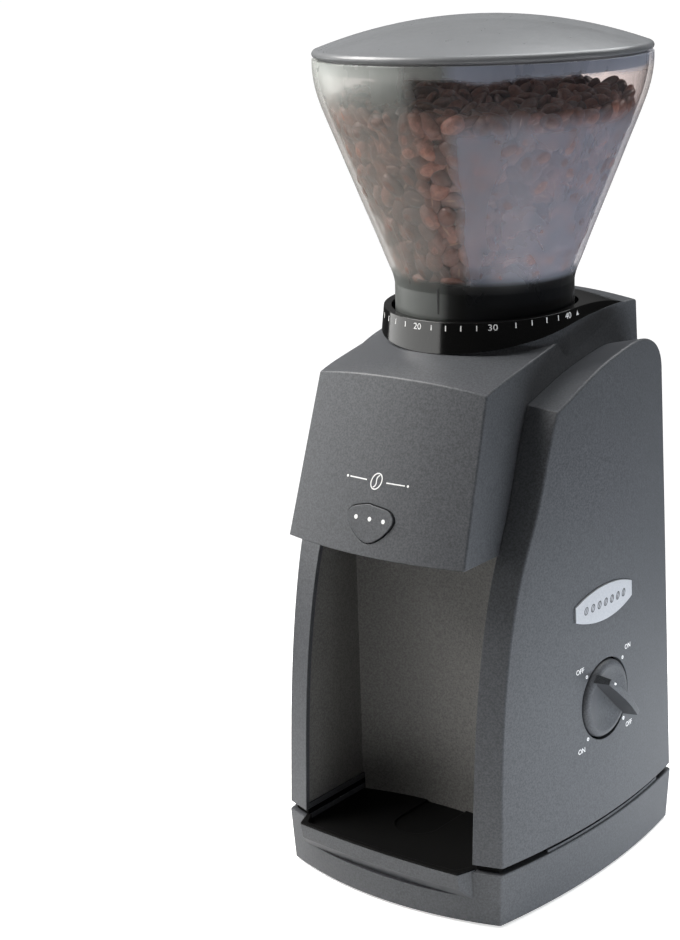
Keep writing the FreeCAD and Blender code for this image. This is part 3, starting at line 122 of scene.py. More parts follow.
# ---------------------------------------------------------------- node helpers
class Shader:
    """A material's node tree with short calls for the nodes used here."""

    def __init__(self, name):
        self.material = bpy.data.materials.new(name)
        self.material.use_nodes = True
        self.tree = self.material.node_tree
        self.tree.nodes.clear()
        self.output = self.tree.nodes.new("ShaderNodeOutputMaterial")
        self.place = self.node("ShaderNodeTexCoord").outputs["Object"]

    def node(self, kind, settings=None, **inputs):
        made = self.tree.nodes.new(kind)
        for key, value in (settings or {}).items():
            setattr(made, key, value)
        for key, value in inputs.items():
            self.feed(made.inputs[key.replace("_", " ")], value)
        return made

    def feed(self, socket, value):
        if isinstance(value, bpy.types.NodeSocket):
            self.tree.links.new(value, socket)
        elif isinstance(value, (tuple, list)) and len(value) == 3 and socket.type == "RGBA":
            socket.default_value = (*value, 1)
        else:
            socket.default_value = value

    def noise(self, size, detail=2.0, roughness=0.5, place=None, distortion=0.0):
        """Noise whose features are about the given size, in metres."""
        made = self.node("ShaderNodeTexNoise", Vector=place or self.place, Scale=1 / size,
                         Detail=detail, Roughness=roughness, Distortion=distortion)
        return made.outputs["Fac"]

    def stretched(self, scale):
        """Object coordinates multiplied by a scale, for brushed or streaked patterns."""
        made = self.node("ShaderNodeMapping", Vector=self.place, Scale=scale)
        return made.outputs["Vector"]

    def remap(self, value, low, high, to_low=0.0, to_high=1.0):
        made = self.node("ShaderNodeMapRange", Value=value)
        for name, number in (("From Min", low), ("From Max", high), ("To Min", to_low), ("To Max", to_high)):
            made.inputs[name].default_value = number
        return made.outputs["Result"]

    def math(self, operation, a, b):
        made = self.node("ShaderNodeMath", {"operation": operation})
        self.feed(made.inputs[0], a)
        self.feed(made.inputs[1], b)
        return made.outputs["Value"]

    def mix(self, amount, a, b):
        """A colour between a and b."""
        made = self.node("ShaderNodeMix", {"data_type": "RGBA"})
        self.feed(made.inputs[0], amount)
        self.feed(made.inputs[6], a)
        self.feed(made.inputs[7], b)
        return made.outputs[2]

    def bump(self, height, depth, strength=1.0, normal=None):
        made = self.node("ShaderNodeBump", Height=height, Distance=depth, Strength=strength)
        if normal is not None:
            self.feed(made.inputs["Normal"], normal)
        return made.outputs["Normal"]

    def rounded(self, radius):
        """The normal with edges rounded off over a radius."""
        return self.node("ShaderNodeBevel", {"samples": 6}, Radius=radius).outputs["Normal"]

    def edge(self, rounded):
        """One near an edge and zero on flat ground."""
        flat = self.node("ShaderNodeNewGeometry").outputs["Normal"]
        dot = self.node("ShaderNodeVectorMath", {"operation": "DOT_PRODUCT"})
        self.feed(dot.inputs[0], rounded)
        self.feed(dot.inputs[1], flat)
        return self.remap(dot.outputs["Value"], 0.995, 0.85)

    def finish(self, shader):
        self.tree.links.new(shader, self.output.inputs["Surface"])
        return self.material

    def principled(self, **inputs):
        return self.node("ShaderNodeBsdfPrincipled", **inputs).outputs["BSDF"]


# ---------------------------------------------------------------- materials
def moulded(name, colour, roughness, grain=0.8 * MM, depth=0.035 * MM, speckle=0.25, round_off=0.5 * MM,
            edge_wear_and_highlight=0.55, shine=0.3):
    """Injection-moulded plastic with a spark-eroded texture, a faint bloom and lighter edges, partly rubbed
    wear and partly a painted highlight.
    """
    s = Shader(name)
    fine = s.noise(grain, 2, 0.7)
    cloud = s.noise(90 * MM, 2)
    rounded = s.rounded(round_off)
    edge = s.math("MULTIPLY", s.edge(rounded), s.remap(s.noise(9 * MM, 4, 0.7), 0.35, 0.7))
    dark = tuple(c * (1 - speckle) for c in colour)
    light = tuple(c * (1 + speckle) for c in colour)
    base = s.mix(s.remap(fine, 0.35, 0.65), dark, light)
    # lighter edges in patches: partly rubbed wear, partly a painted highlight
    base = s.mix(s.math("MULTIPLY", edge, edge_wear_and_highlight), base, tuple(min(1, c * 2.2 + 0.02) for c in colour))
    rough = s.math("ADD", s.remap(fine, 0.3, 0.7, roughness - 0.05, roughness + 0.05),
                   s.remap(cloud, 0.3, 0.7, -0.02, 0.02))
    normal = s.bump(fine, depth, 0.9, rounded)
    return s.finish(s.principled(Base_Color=base, Roughness=rough, Normal=normal, Specular_IOR_Level=shine))


def glossy(name, colour, roughness):
    """Polished black plastic with a faint orange peel, dust and hairline scratches."""
    s = Shader(name)
    scratch = s.noise(0.5 * MM, 2, 0.5, s.stretched((1, 1, 0.06)))
    dust = s.remap(s.noise(0.6 * MM, 2, 0.6), 0.74, 0.82)
    rounded = s.rounded(0.4 * MM)
    base = s.mix(s.math("MULTIPLY", dust, 0.3), colour, (0.16, 0.16, 0.16))
    polish = s.remap(scratch, 0.35, 0.75, roughness, roughness + 0.06)
    rough = s.math("ADD", polish, s.math("MULTIPLY", dust, 0.3))
    normal = s.bump(s.noise(2.5 * MM, 2), 0.02 * MM, 0.4, rounded)
    return s.finish(s.principled(Base_Color=base, Roughness=rough, Normal=normal, Specular_IOR_Level=0.5))


def metal(name, colour, roughness, direction=(1, 1, 12), grain=0.25 * MM):
    """Turned or ground metal, with lines along one direction and slightly uneven colour."""
    s = Shader(name)
    lines = s.noise(grain, 3, 0.6, s.stretched(direction))
    cloud = s.noise(7 * MM, 3)
    rounded = s.rounded(0.3 * MM)
    edge = s.edge(rounded)
    base = s.mix(s.remap(cloud, 0.3, 0.7), tuple(c * 0.82 for c in colour), colour)
    base = s.mix(s.math("MULTIPLY", edge, 0.5), base, tuple(min(1, c * 1.25) for c in colour))
    rough = s.remap(lines, 0.3, 0.7, roughness * 0.75, roughness * 1.35)
    normal = s.bump(lines, 0.01 * MM, 0.5, rounded)
    return s.finish(s.principled(Base_Color=base, Roughness=rough, Normal=normal, Metallic=1.0))


def rubber(name, colour):
    """Matt rubber with a grainy skin and lighter edges."""
    s = Shader(name)
    grain = s.noise(0.5 * MM, 4, 0.7)
    rounded = s.rounded(0.5 * MM)
    dark, light = tuple(c * 0.75 for c in colour), tuple(c * 1.3 + 0.004 for c in colour)
    base = s.mix(s.remap(grain, 0.3, 0.75), dark, light)
    base = s.mix(s.math("MULTIPLY", s.edge(rounded), 0.4), base, tuple(c * 2 + 0.02 for c in colour))
    rough = s.remap(s.noise(4 * MM, 3), 0.3, 0.7, 0.62, 0.82)
    normal = s.bump(grain, 0.05 * MM, 0.7, rounded)
    return s.finish(s.principled(Base_Color=base, Roughness=rough, Normal=normal))


def clear_plastic(name, tint, left_reflection, right_reflection, roughness):
    """Smoke-tinted clear plastic with painted reflections as a pale haze either side of a clear band, and
    painted shade that darkens the neck.
    """
    s = Shader(name)
    # noise that shapes the painted reflections and varies the gloss's roughness
    reflection_noise = s.noise(30 * MM, 4, 0.6, s.stretched((1, 1, 0.45)), 0.6)
    split = s.node("ShaderNodeSeparateXYZ", Vector=s.place).outputs
    across = s.math("SUBTRACT", split["X"], AXIS.x)
    ahead = s.math("SUBTRACT", AXIS.y, split["Y"])
    angle = s.math("ADD", s.math("ARCTAN2", across, ahead), s.remap(reflection_noise, 0.3, 0.7, -0.03, 0.03))
    # the painted reflections leave a clear band at this angle
    reflection_gap = math.radians(REFLECTION_GAP_AT)
    left_side = s.remap(angle, reflection_gap - 0.07, reflection_gap - 0.18)
    right_side = s.remap(angle, reflection_gap + 0.06, reflection_gap + 0.17)
    bottom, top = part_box("hopper")[0].z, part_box("hopper")[1].z
    fill_top = top - FILL_BELOW_LID
    height = s.math("ADD", split["Z"], s.remap(reflection_noise, 0.3, 0.7, -2 * MM, 2 * MM))
    under = s.remap(height, fill_top - 1 * MM, fill_top - 9 * MM, 0.0, 1.0)
    neck_end = bottom + NECK_HEIGHT
    above_neck = s.remap(split["Z"], neck_end - 1 * MM, neck_end + 1 * MM)
    # painted reflection on the left, growing above the beans
    reflection_above = s.remap(height, fill_top - 4 * MM, top, LEFT_PAINTED_REFLECTION, LEFT_PAINTED_REFLECTION + 0.3)
    left = s.math("MULTIPLY", left_side, reflection_above)
    # painted reflection on the right, below the beans' top and above the neck
    right = s.math("MULTIPLY", right_side, under)
    right = s.math("MULTIPLY", right, s.math("MULTIPLY", above_neck, RIGHT_PAINTED_REFLECTION))
    # painted reflection round the rim
    rim = s.remap(height, top - 6 * MM, top - 4 * MM, 0.0, RIM_PAINTED_REFLECTION)
    amount = s.math("ADD", s.math("MAXIMUM", s.math("ADD", left, right), rim), BARE_PAINTED_REFLECTION)
    amount = s.math("MULTIPLY", amount, s.remap(reflection_noise, 0.3, 0.7, 0.88, 1.12))
    # painted reflection colours: lighter towards the left, bluish on the right
    lighter_left_reflection = s.mix(s.remap(angle, 0.2, -0.7), left_reflection, tuple(c * 1.6 for c in left_reflection))
    painted_reflection_colour = s.mix(right_side, lighter_left_reflection, right_reflection)
    ripple = s.bump(s.noise(14 * MM, 2), 0.15 * MM, 0.25, s.rounded(0.5 * MM))
    # painted shade: below the neck the plastic lets almost nothing through, so the neck looks dark
    see = s.mix(above_neck, tuple(c * 0.08 for c in tint), tint)
    clear = s.node("ShaderNodeBsdfTransparent", Color=see).outputs[0]
    front = s.node("ShaderNodeBsdfDiffuse", Color=painted_reflection_colour).outputs[0]
    through = s.node("ShaderNodeBsdfTranslucent", Color=painted_reflection_colour).outputs[0]
    painted_reflection_shader = s.node("ShaderNodeMixShader", Fac=0.5)
    s.feed(painted_reflection_shader.inputs[1], front)
    s.feed(painted_reflection_shader.inputs[2], through)
    body = s.node("ShaderNodeMixShader", Fac=amount)
    s.feed(body.inputs[1], clear)
    s.feed(body.inputs[2], painted_reflection_shader.outputs[0])
    shine = s.node("ShaderNodeBsdfGlossy", Color=(1, 1, 1), Normal=ripple,
                   Roughness=s.remap(reflection_noise, 0.3, 0.7, roughness * 0.8, roughness * 1.4)).outputs[0]
    facing = s.node("ShaderNodeLayerWeight", Blend=0.5, Normal=ripple).outputs["Facing"]
    reflected = s.remap(s.math("POWER", facing, 4.0), 0, 1, 0.035, 0.7)
    both = s.node("ShaderNodeMixShader", Fac=reflected)
    s.feed(both.inputs[1], body.outputs[0])
    s.feed(both.inputs[2], shine)
    return s.finish(both.outputs[0])


def satin_lid(name, colour, see_through):
    """Frosted smoke-grey plastic that lets a little light in, with a painted highlight along its edges."""
    s = Shader(name)
    frost = s.noise(0.3 * MM, 3, 0.7)
    cloud = s.noise(40 * MM, 3, 0.6)
    rounded = s.rounded(0.6 * MM)
    dark, light = tuple(c * 0.88 for c in colour), tuple(c * 1.1 for c in colour)
    base = s.mix(s.remap(cloud, 0.3, 0.7), dark, light)
    # painted highlight: the edges are mixed towards a pale grey
    base = s.mix(s.math("MULTIPLY", s.edge(rounded), 0.6), base, (0.6, 0.59, 0.58))
    rough = s.remap(s.noise(6 * MM, 3, 0.7), 0.3, 0.7, 0.27, 0.38)
    normal = s.bump(frost, 0.02 * MM, 0.5, rounded)
    solid = s.principled(Base_Color=base, Roughness=rough, Normal=normal, Coat_Weight=0.25,
                         Coat_Roughness=0.25)
    clear = s.node("ShaderNodeBsdfTransparent", Color=(0.75, 0.76, 0.78)).outputs[0]
    both = s.node("ShaderNodeMixShader", Fac=s.remap(cloud, 0.3, 0.7, see_through * 0.8, see_through * 1.2))
    s.feed(both.inputs[1], solid)
    s.feed(both.inputs[2], clear)
    return s.finish(both.outputs[0])


def ink(name, colour):
    """Screen-printed ink with a slightly uneven edge to its gloss."""
    s = Shader(name)
    grain = s.noise(0.3 * MM, 3, 0.6)
    base = s.mix(s.remap(grain, 0.3, 0.7), tuple(c * 0.86 for c in colour), colour)
    rough = s.remap(s.noise(1.5 * MM, 2), 0.3, 0.7, 0.4, 0.6)
    return s.finish(s.principled(Base_Color=base, Roughness=rough, Normal=s.bump(grain, 0.01 * MM, 0.4)))


def roasted(name):
    """Roasted coffee bean: brown that differs from bean to bean, mottled, oily, with a pale crease."""
    s = Shader(name)
    tone = s.node("ShaderNodeAttribute", {"attribute_name": "tone"}).outputs["Fac"]
    crease = s.node("ShaderNodeAttribute", {"attribute_name": "crease"}).outputs["Fac"]
    mottle = s.noise(1.6 * MM, 4, 0.65)
    base = s.mix(tone, (0.110, 0.048, 0.034), (0.400, 0.195, 0.140))
    base = s.mix(s.remap(mottle, 0.35, 0.7, 0, 0.5), base, (0.018, 0.008, 0.006))
    base = s.mix(s.remap(crease, 0.55, 1.0, 0, 0.8), base, (0.55, 0.36, 0.26))
    rough = s.remap(s.noise(2.5 * MM, 2), 0.3, 0.7, 0.30, 0.46)
    normal = s.bump(mottle, 0.15 * MM, 0.7)
    return s.finish(s.principled(Base_Color=base, Roughness=rough, Normal=normal, Specular_IOR_Level=0.35,
                                 Coat_Weight=0.5, Coat_Roughness=0.26))


CHARCOAL = (0.064, 0.067, 0.073)
# SMOKE tints the clear plastic; the other two colour its painted reflections, greenish grey on the left and
# bluish on the right
SMOKE, LEFT_REFLECTION_COLOUR, RIGHT_REFLECTION_COLOUR = (0.95, 0.91, 0.90), (0.39, 0.42, 0.40), (0.60, 0.66, 0.80)
FINISHES = {
    "charcoal_plastic": lambda n: moulded(n, CHARCOAL, 0.44),
    "black_plastic": lambda n: moulded(n, (0.004, 0.004, 0.004), 0.50, shine=0.04),
    "gloss_black": lambda n: glossy(n, (0.003, 0.003, 0.003), 0.09),
    "grey_liner": lambda n: moulded(n, (0.14, 0.137, 0.131), 0.40),
    "smoke_plastic": lambda n: clear_plastic(n, SMOKE, LEFT_REFLECTION_COLOUR, RIGHT_REFLECTION_COLOUR, 0.26),
    "lid_plastic": lambda n: satin_lid(n, (0.165, 0.170, 0.177), 0.26),
    "badge_silver": lambda n: moulded(n, (0.32, 0.330, 0.350), 0.35, speckle=0.06, depth=0.01 * MM, edge_wear_and_highlight=0.1),
    "rubber": lambda n: rubber(n, (0.012, 0.012, 0.012)),
    "hard_steel": lambda n: metal(n, (0.42, 0.42, 0.43), 0.30, (6, 1, 1)),
    "steel": lambda n: metal(n, (0.58, 0.59, 0.60), 0.28),
    "gear_nylon": lambda n: moulded(n, (0.70, 0.68, 0.58), 0.40, speckle=0.06, depth=0.02 * MM, edge_wear_and_highlight=0.2),
    "brass": lambda n: metal(n, (0.72, 0.52, 0.24), 0.26),
    "bronze": lambda n: metal(n, (0.48, 0.31, 0.15), 0.42),
    "copper": lambda n: metal(n, (0.72, 0.33, 0.17), 0.30, (1, 9, 1)),
    "ferrite": lambda n: rubber(n, (0.035, 0.035, 0.037)),
    "silicone": lambda n: rubber(n, (0.42, 0.045, 0.030)),
    "board_green": lambda n: moulded(n, (0.012, 0.10, 0.035), 0.35, speckle=0.12, depth=0.02 * MM),
    "component_black": lambda n: moulded(n, (0.02, 0.02, 0.022), 0.36, grain=0.4 * MM),
}


def finish_nodes():
    """Gives each CAD node the finish of its material slot."""
    made = {}
    for part in frame["record"]["subparts"]:
        slot = part["material_slot"]
        if slot not in made:
            made[slot] = FINISHES[slot](slot)
        mesh = NODES[part["node"]].data
        mesh.materials.clear()
        mesh.materials.append(made[slot])


# ---------------------------------------------------------------- mesh helpers
def tree_of(*names):
    """A ray-casting tree over CAD nodes."""
    points, faces = [], []
    for name in names:
        mesh = NODES[name].data
        start = len(points)
        points += [v.co.copy() for v in mesh.vertices]
        faces += [[start + i for i in p.vertices] for p in mesh.polygons]
    return BVHTree.FromPolygons(points, faces)


def new_piece(name, points, faces, material, smooth=False):
    mesh = bpy.data.meshes.new(name)
    mesh.from_pydata(points, [], faces)
    mesh.materials.append(material)
    mesh.polygons.foreach_set("use_smooth", [smooth] * len(mesh.polygons))
    mesh.validate()
    piece = bpy.data.objects.new(name, mesh)
    bpy.context.scene.collection.objects.link(piece)
    return piece


def lettering(text, height, wide=1.0):
    """The points (u, v, w) and faces of a word, centred, w being 0 at its back and 1 at its front."""
    curve = bpy.data.curves.new("word", "FONT")
    curve.body = text
    curve.size = height / CAP_HEIGHT
    curve.align_x = "CENTER"
    curve.resolution_u = 3
    curve.extrude = 0.5
    holder = bpy.data.objects.new("word", curve)
    bpy.context.scene.collection.objects.link(holder)
    bpy.context.view_layer.update()
    mesh = bpy.data.meshes.new_from_object(holder)
    points = [(v.co.x * wide, v.co.y - height / 2, v.co.z + 0.5) for v in mesh.vertices]
    faces = [tuple(p.vertices) for p in mesh.polygons]
    bpy.data.objects.remove(holder)
    bpy.data.curves.remove(curve)
    bpy.data.meshes.remove(mesh)
    return points, faces


def plate(outline):
    """A thin plate from an outline of (u, v) points that goes round anticlockwise."""
    n = len(outline)
    points = [(u, v, 0) for u, v in outline] + [(u, v, 1) for u, v in outline]
    faces = [tuple(range(n - 1, -1, -1)), tuple(range(n, 2 * n))]
    faces += [(i, (i + 1) % n, n + (i + 1) % n, n + i) for i in range(n)]
    return points, faces


def disc(radius, sides=24):
    return plate([(radius * math.cos(a), radius * math.sin(a)) for a in turns(sides)])


def oval_ring(width, height, line, sides=48):
    """A closed line of a given thickness round an oval."""
    points, faces = [], []
    for a in turns(sides):
        for grow in (-line / 2, line / 2):
            u, v = (width / 2 + grow) * math.cos(a), (height / 2 + grow) * math.sin(a)
            points += [(u, v, 0), (u, v, 1)]
    for i in range(sides):
        a, b = 4 * i, 4 * ((i + 1) % sides)
        faces += [(a + 1, a + 3, b + 3, b + 1), (a, b, b + 2, a + 2)]
        faces += [(a, a + 1, b + 1, b), (a + 2, b + 2, b + 3, a + 3)]
    return points, faces


def turns(sides):
    return [2 * math.pi * i / sides for i in range(sides)]


def bar(width, height):
    return plate([(-width / 2, -height / 2), (width / 2, -height / 2), (width / 2, height / 2),
                  (-width / 2, height / 2)])


def shifted(shape, u, v, turn=0.0):
    """A print turned by some degrees and then moved."""
    c, s = math.cos(math.radians(turn)), math.sin(math.radians(turn))
    return [(c * a - s * b + u, s * a + c * b + v, w) for a, b, w in shape[0]], shape[1]


def print_on(name, shapes, cast, material, body):
    """Lays flat prints on a surface. cast(u, v) gives the point there and its outward normal."""
    points, faces = [], []
    for outline, rings in shapes:
        start = len(points)
        for u, v, w in outline:
            spot, normal = cast(u, v)
            points.append(spot + normal * (PRINT_LIFT + PRINT_THICK * w))
        faces += [tuple(start + i for i in ring) for ring in rings]
    piece = new_piece(name, points, faces, material)
    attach(piece, body)
    return piece


def caster(tree, start, direction):
    """A cast along one direction onto a tree. start(u, v) gives where the ray begins.

    A ray can slip between two triangles and hit what lies behind, so its neighbours are cast as well.
    """
    def cast(u, v):
        way = direction(u, v) if callable(direction) else direction
        hits = [tree.ray_cast(start(u + du * RAY_ASIDE, v + dv * RAY_ASIDE), way) for du, dv in NEIGHBOURS]
        hits = [hit for hit in hits if hit[0]]
        near = min(hit[3] for hit in hits) + SLIP
        spot, normal, _, _ = next(hit for hit in hits if hit[3] < near)
        if normal.dot(way) > 0:
            normal = -normal
        return spot, normal
    return cast


# ---------------------------------------------------------------- prints
def from_the_right(node, middle):
    """A cast onto a node's right side, u being towards the rear and v up, from a middle."""
    def start(u, v):
        return Vector((RAY_START, middle.y + u, middle.z + v))
    return caster(tree_of(node), start, Vector((-1, 0, 0)))


def from_the_front(node, x, z):
    """A cast onto a node's front, u being to the right and v up."""
    def start(u, v):
        return Vector((x + u, -RAY_START, z + v))
    return caster(tree_of(node), start, Vector((0, 1, 0)))


def scale_prints(material):
    """Numbers and ticks round the collar, under the hopper."""
    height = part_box("scale_collar")[1].z - SCALE_BELOW_TOP
    out_here = 0.1

    def start(u, v):
        a = u / SCALE_RADIUS
        return Vector((AXIS.x + out_here * math.sin(a), AXIS.y - out_here * math.cos(a), height + v))

    def inward(u, v):
        a = u / SCALE_RADIUS
        return Vector((-math.sin(a), math.cos(a), 0))

    def along(setting):
        """Where a setting is round the collar. The steps are a little uneven."""
        angle = SETTING_20 + (setting - 20) * SETTING_STEP
        angle -= 0.4 * max(0, setting - 22) if setting <= 30 else 0.5 * max(0, min(setting, 40) - 36)
        return math.radians(angle) * SCALE_RADIUS

    def rise(setting):
        """How far up a mark lies: the scale climbs towards the right."""
        return SCALE_CLIMB * min(1.0, max(0.0, (setting - 19) / 16)) ** 2

    shapes = []
    for setting in SCALE_MARKS:
        if setting % 10:
            shape = bar(TICK_WIDTH, TICK_HEIGHT)
        else:
            shape = lettering(str(setting), NUMBER_HEIGHT, 1.18)
        shapes.append(shifted(shape, along(setting), rise(setting)))
    triangle = plate([(-0.9 * MM, -1.0 * MM), (0.9 * MM, -1.0 * MM), (0, 1.1 * MM)])
    past_the_end = 41.6
    where = math.radians(SETTING_20 + (past_the_end - 20) * SETTING_STEP) * SCALE_RADIUS
    shapes.append(shifted(triangle, where, rise(past_the_end)))
    print_on("scale_print", shapes, caster(tree_of("scale_collar"), start, inward), material, "frame")


def pointer_print(material):
    """The line on the hopper's neck that is read against the scale."""
    angle = math.radians(POINTER_AT)
    outward = Vector((math.sin(angle), -math.cos(angle), 0))
    sideways = Vector((math.cos(angle), math.sin(angle), 0))
    foot = Vector((AXIS.x, AXIS.y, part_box("scale_collar")[1].z + 5.5 * MM)) + outward * 0.2
    tree = tree_of("hopper", "hopper_funnel")
    cast = caster(tree, lambda u, v: foot + sideways * u + Vector((0, 0, v)), -outward)
    print_on("pointer_print", [bar(0.6 * MM, 10 * MM)], cast, material, "hopper")


def knob_prints(material):
    """ON and OFF with a small ring each round the knob, and the dot on the knob's ridge."""
    shapes = []
    for u, v, word in ((-1, 1, "OFF"), (1, 1, "ON"), (1, -1, "OFF"), (-1, -1, "ON")):
        shapes.append(shifted(lettering(word, WORD_HEIGHT), u * WORD_AHEAD, v * WORD_UP))
        shapes.append(shifted(oval_ring(MARK_SIZE, MARK_SIZE, 0.4 * MM, 16), u * MARK_AT, v * MARK_AT))
    print_on("switch_print", shapes, from_the_right("right_side_panel", KNOB), material, "frame")
    # the ridge points to the front and up, halfway between the two
    u, v = (DOT_ASIDE - DOT_AHEAD) / math.sqrt(2), (DOT_ASIDE + DOT_AHEAD) / math.sqrt(2)
    dot = shifted(disc(DOT_RADIUS), u, v)
    print_on("knob_dot", [dot], from_the_right("switch_knob", KNOB), material, "knob")


def front_prints(material):
    """Three dots on the button and a plain ornament of a bean between two lines above it."""
    button = centre_of("pulse_button")
    cast = from_the_front("pulse_button", button.x, button.z)
    dots = [shifted(disc(BUTTON_DOT_RADIUS), u * BUTTON_DOT_STEP, BUTTON_DOT_UP) for u in (-1, 0, 1)]
    print_on("button_dots", dots, cast, material, "button")
    tilt = -28
    shapes = [shifted(oval_ring(4.6 * MM, 6.4 * MM, ORNAMENT_LINE), 0, ORNAMENT_UP, tilt)]
    steps = [i / 12 for i in range(13)]
    crease = [(0.5 * MM * math.sin(2 * math.pi * t), (t - 0.5) * 5.4 * MM) for t in steps]
    line = [(u + 0.22 * MM, v) for u, v in crease] + [(u - 0.22 * MM, v) for u, v in reversed(crease)]
    shapes.append(shifted(plate(line), 0, ORNAMENT_UP, tilt))
    for side in (-1, 1):
        shapes.append(shifted(bar(8.5 * MM, ORNAMENT_LINE), side * 9 * MM, ORNAMENT_UP))
        shapes.append(shifted(disc(0.5 * MM), side * 14.6 * MM, ORNAMENT_UP))
    print_on("front_print", shapes, from_the_front("upper_housing", AXIS.x, button.z), material, "frame")


def badge_prints(material):
    """A row of beans on the badge plate."""
    tilt = -25
    shapes = []
    for i in range(BADGE_BEANS):
        u = (i - BADGE_BEANS // 2) * BADGE_STEP
        shapes.append(shifted(oval_ring(2.2 * MM, 3.2 * MM, 0.3 * MM, 24), u, 0, tilt))
        shapes.append(shifted(bar(0.28 * MM, 2.6 * MM), u, 0, tilt))
    cast = from_the_right("badge_plate", centre_of("badge_plate"))
    print_on("badge_print", shapes, cast, material, "frame")


# ---------------------------------------------------------------- beans
def hopper_radius():
    """The hopper's inner radius at a height, measured from its mesh."""
    tree = tree_of("hopper", "hopper_funnel")
    bottom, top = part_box("hopper")[0].z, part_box("hopper")[1].z
    heights, radii = [], []
    z = bottom + 8 * MM
    while z < top - 1 * MM:
        found = [tree.ray_cast(Vector((AXIS.x, AXIS.y, z)), Vector((math.cos(a), math.sin(a), 0)))[3]
                 for a in turns(8)]
        found = [f for f in found if f]
        if found:
            heights.append(z)
            radii.append(min(found))
        z += 2 * MM
    return lambda z: float(np.interp(z, heights, radii))


def bean_shape(around=14, along=9):
    """One bean, as points, faces and how deep each point lies in the crease. Its flat side is down."""
    points, crease = [(-1, 0, -0.12), (1, 0, -0.12)], [0.5, 0.5]
    for i in range(1, along):
        t = math.pi * i / along
        x, r = -math.cos(t), math.sin(t) ** 0.82
        for k in range(around):
            a = 2 * math.pi * k / around - math.pi / 2
            y, z = r * math.cos(a), r * math.sin(a)
            groove = 0.0
            if z < 0:
                z *= 0.42
                groove = math.exp(-((y - 0.10 * math.sin(math.pi * x)) / 0.16) ** 2) * (1 - x ** 4)
                z += groove * 0.34
            points.append((x, y, z))
            crease.append(groove)
    faces = []
    for k in range(around):
        n = (k + 1) % around
        faces.append((0, 2 + n, 2 + k))
        last = 2 + (along - 2) * around
        faces.append((1, last + k, last + n))
        for i in range(along - 2):
            a, b = 2 + i * around, 2 + (i + 1) * around
            faces.append((a + k, a + n, b + n, b + k))
    return np.array(points), faces, np.array(crease)


def bean_places(rng, radius_at):
    """Where the beans lie: two layers against the wall and three on top, then pushed apart."""
    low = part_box("hopper")[0].z + 22 * MM
    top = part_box("hopper")[1].z - FILL_BELOW_LID
    spots, kinds = [], []

    def level(r, angle):
        """The height of the bean heap at a radius and an angle."""
        back = math.cos(angle - math.radians(129)) * r / (60 * MM)
        return top - 1.5 * MM + 1.5 * MM * math.cos(r / (30 * MM)) + 4.5 * MM * back

    for depth, step in ((3.0 * MM, 6.0 * MM), (8.0 * MM, 6.6 * MM)):
        z = low
        while z < top:
            r = radius_at(z) - depth
            count = int(2 * math.pi * r / (7.3 * MM))
            first = rng.random() * 6
            for i in range(count):
                a = first + 2 * math.pi * i / count
                here = r + rng.uniform(-0.4, 0.4) * MM
                spots.append([here * math.cos(a), here * math.sin(a), z + rng.uniform(-1.6, 1.6) * MM])
                kinds.append(depth)
            z += step
    for layer in range(3):
        r = 2 * MM
        while r < radius_at(top) - 3 * MM:
            count = max(1, int(2 * math.pi * r / (7.6 * MM)))
            first = rng.random() * 6
            for i in range(count):
                a = first + 2 * math.pi * i / count
                z = level(r, a) - layer * 4.6 * MM + rng.uniform(-1.2, 1.2) * MM
                spots.append([r * math.cos(a), r * math.sin(a), z])
                kinds.append(0)
            r += 6.8 * MM
    spots = np.array(spots)
    for _ in range(14):
        spots = pushed_apart(spots, 6.3 * MM, radius_at, 2.9 * MM, level)
    return spots, kinds


def pushed_apart(spots, gap, radius_at, wall_gap, level):
    """Moves points nearer than a gap away from each other, and keeps them inside the wall."""
    tree = KDTree(len(spots))
    for i, spot in enumerate(spots):
        tree.insert(spot, i)
    tree.balance()
    moved = spots.copy()
    for i, spot in enumerate(spots):
        for other, k, distance in tree.find_range(spot, gap):
            if k != i and distance > 1e-6:
                moved[i] += (spot - np.array(other)) / distance * (gap - distance) * 0.35
    for spot in moved:
        r = math.hypot(spot[0], spot[1])
        most = radius_at(spot[2]) - wall_gap
        if r > most:
            spot[:2] *= most / r
        highest = level(r, math.atan2(spot[1], spot[0])) + 1.5 * MM
        spot[2] = min(spot[2], highest)
    return moved


def turn_to(normal, tilt, rng):
    """A rotation that lays a bean's thin side along a normal, tilted and spun at random."""
    face = 1 if rng.random() < 0.5 else -1
    spin = Matrix.Rotation(rng.uniform(0, 2 * math.pi), 3, "Z")
    lean = Matrix.Rotation(math.radians(rng.uniform(-tilt, tilt)), 3, "X")
    lean = lean @ Matrix.Rotation(math.radians(rng.uniform(-tilt, tilt)), 3, "Y")
    return (normal * face).to_track_quat("Z", "Y").to_matrix() @ lean @ spin


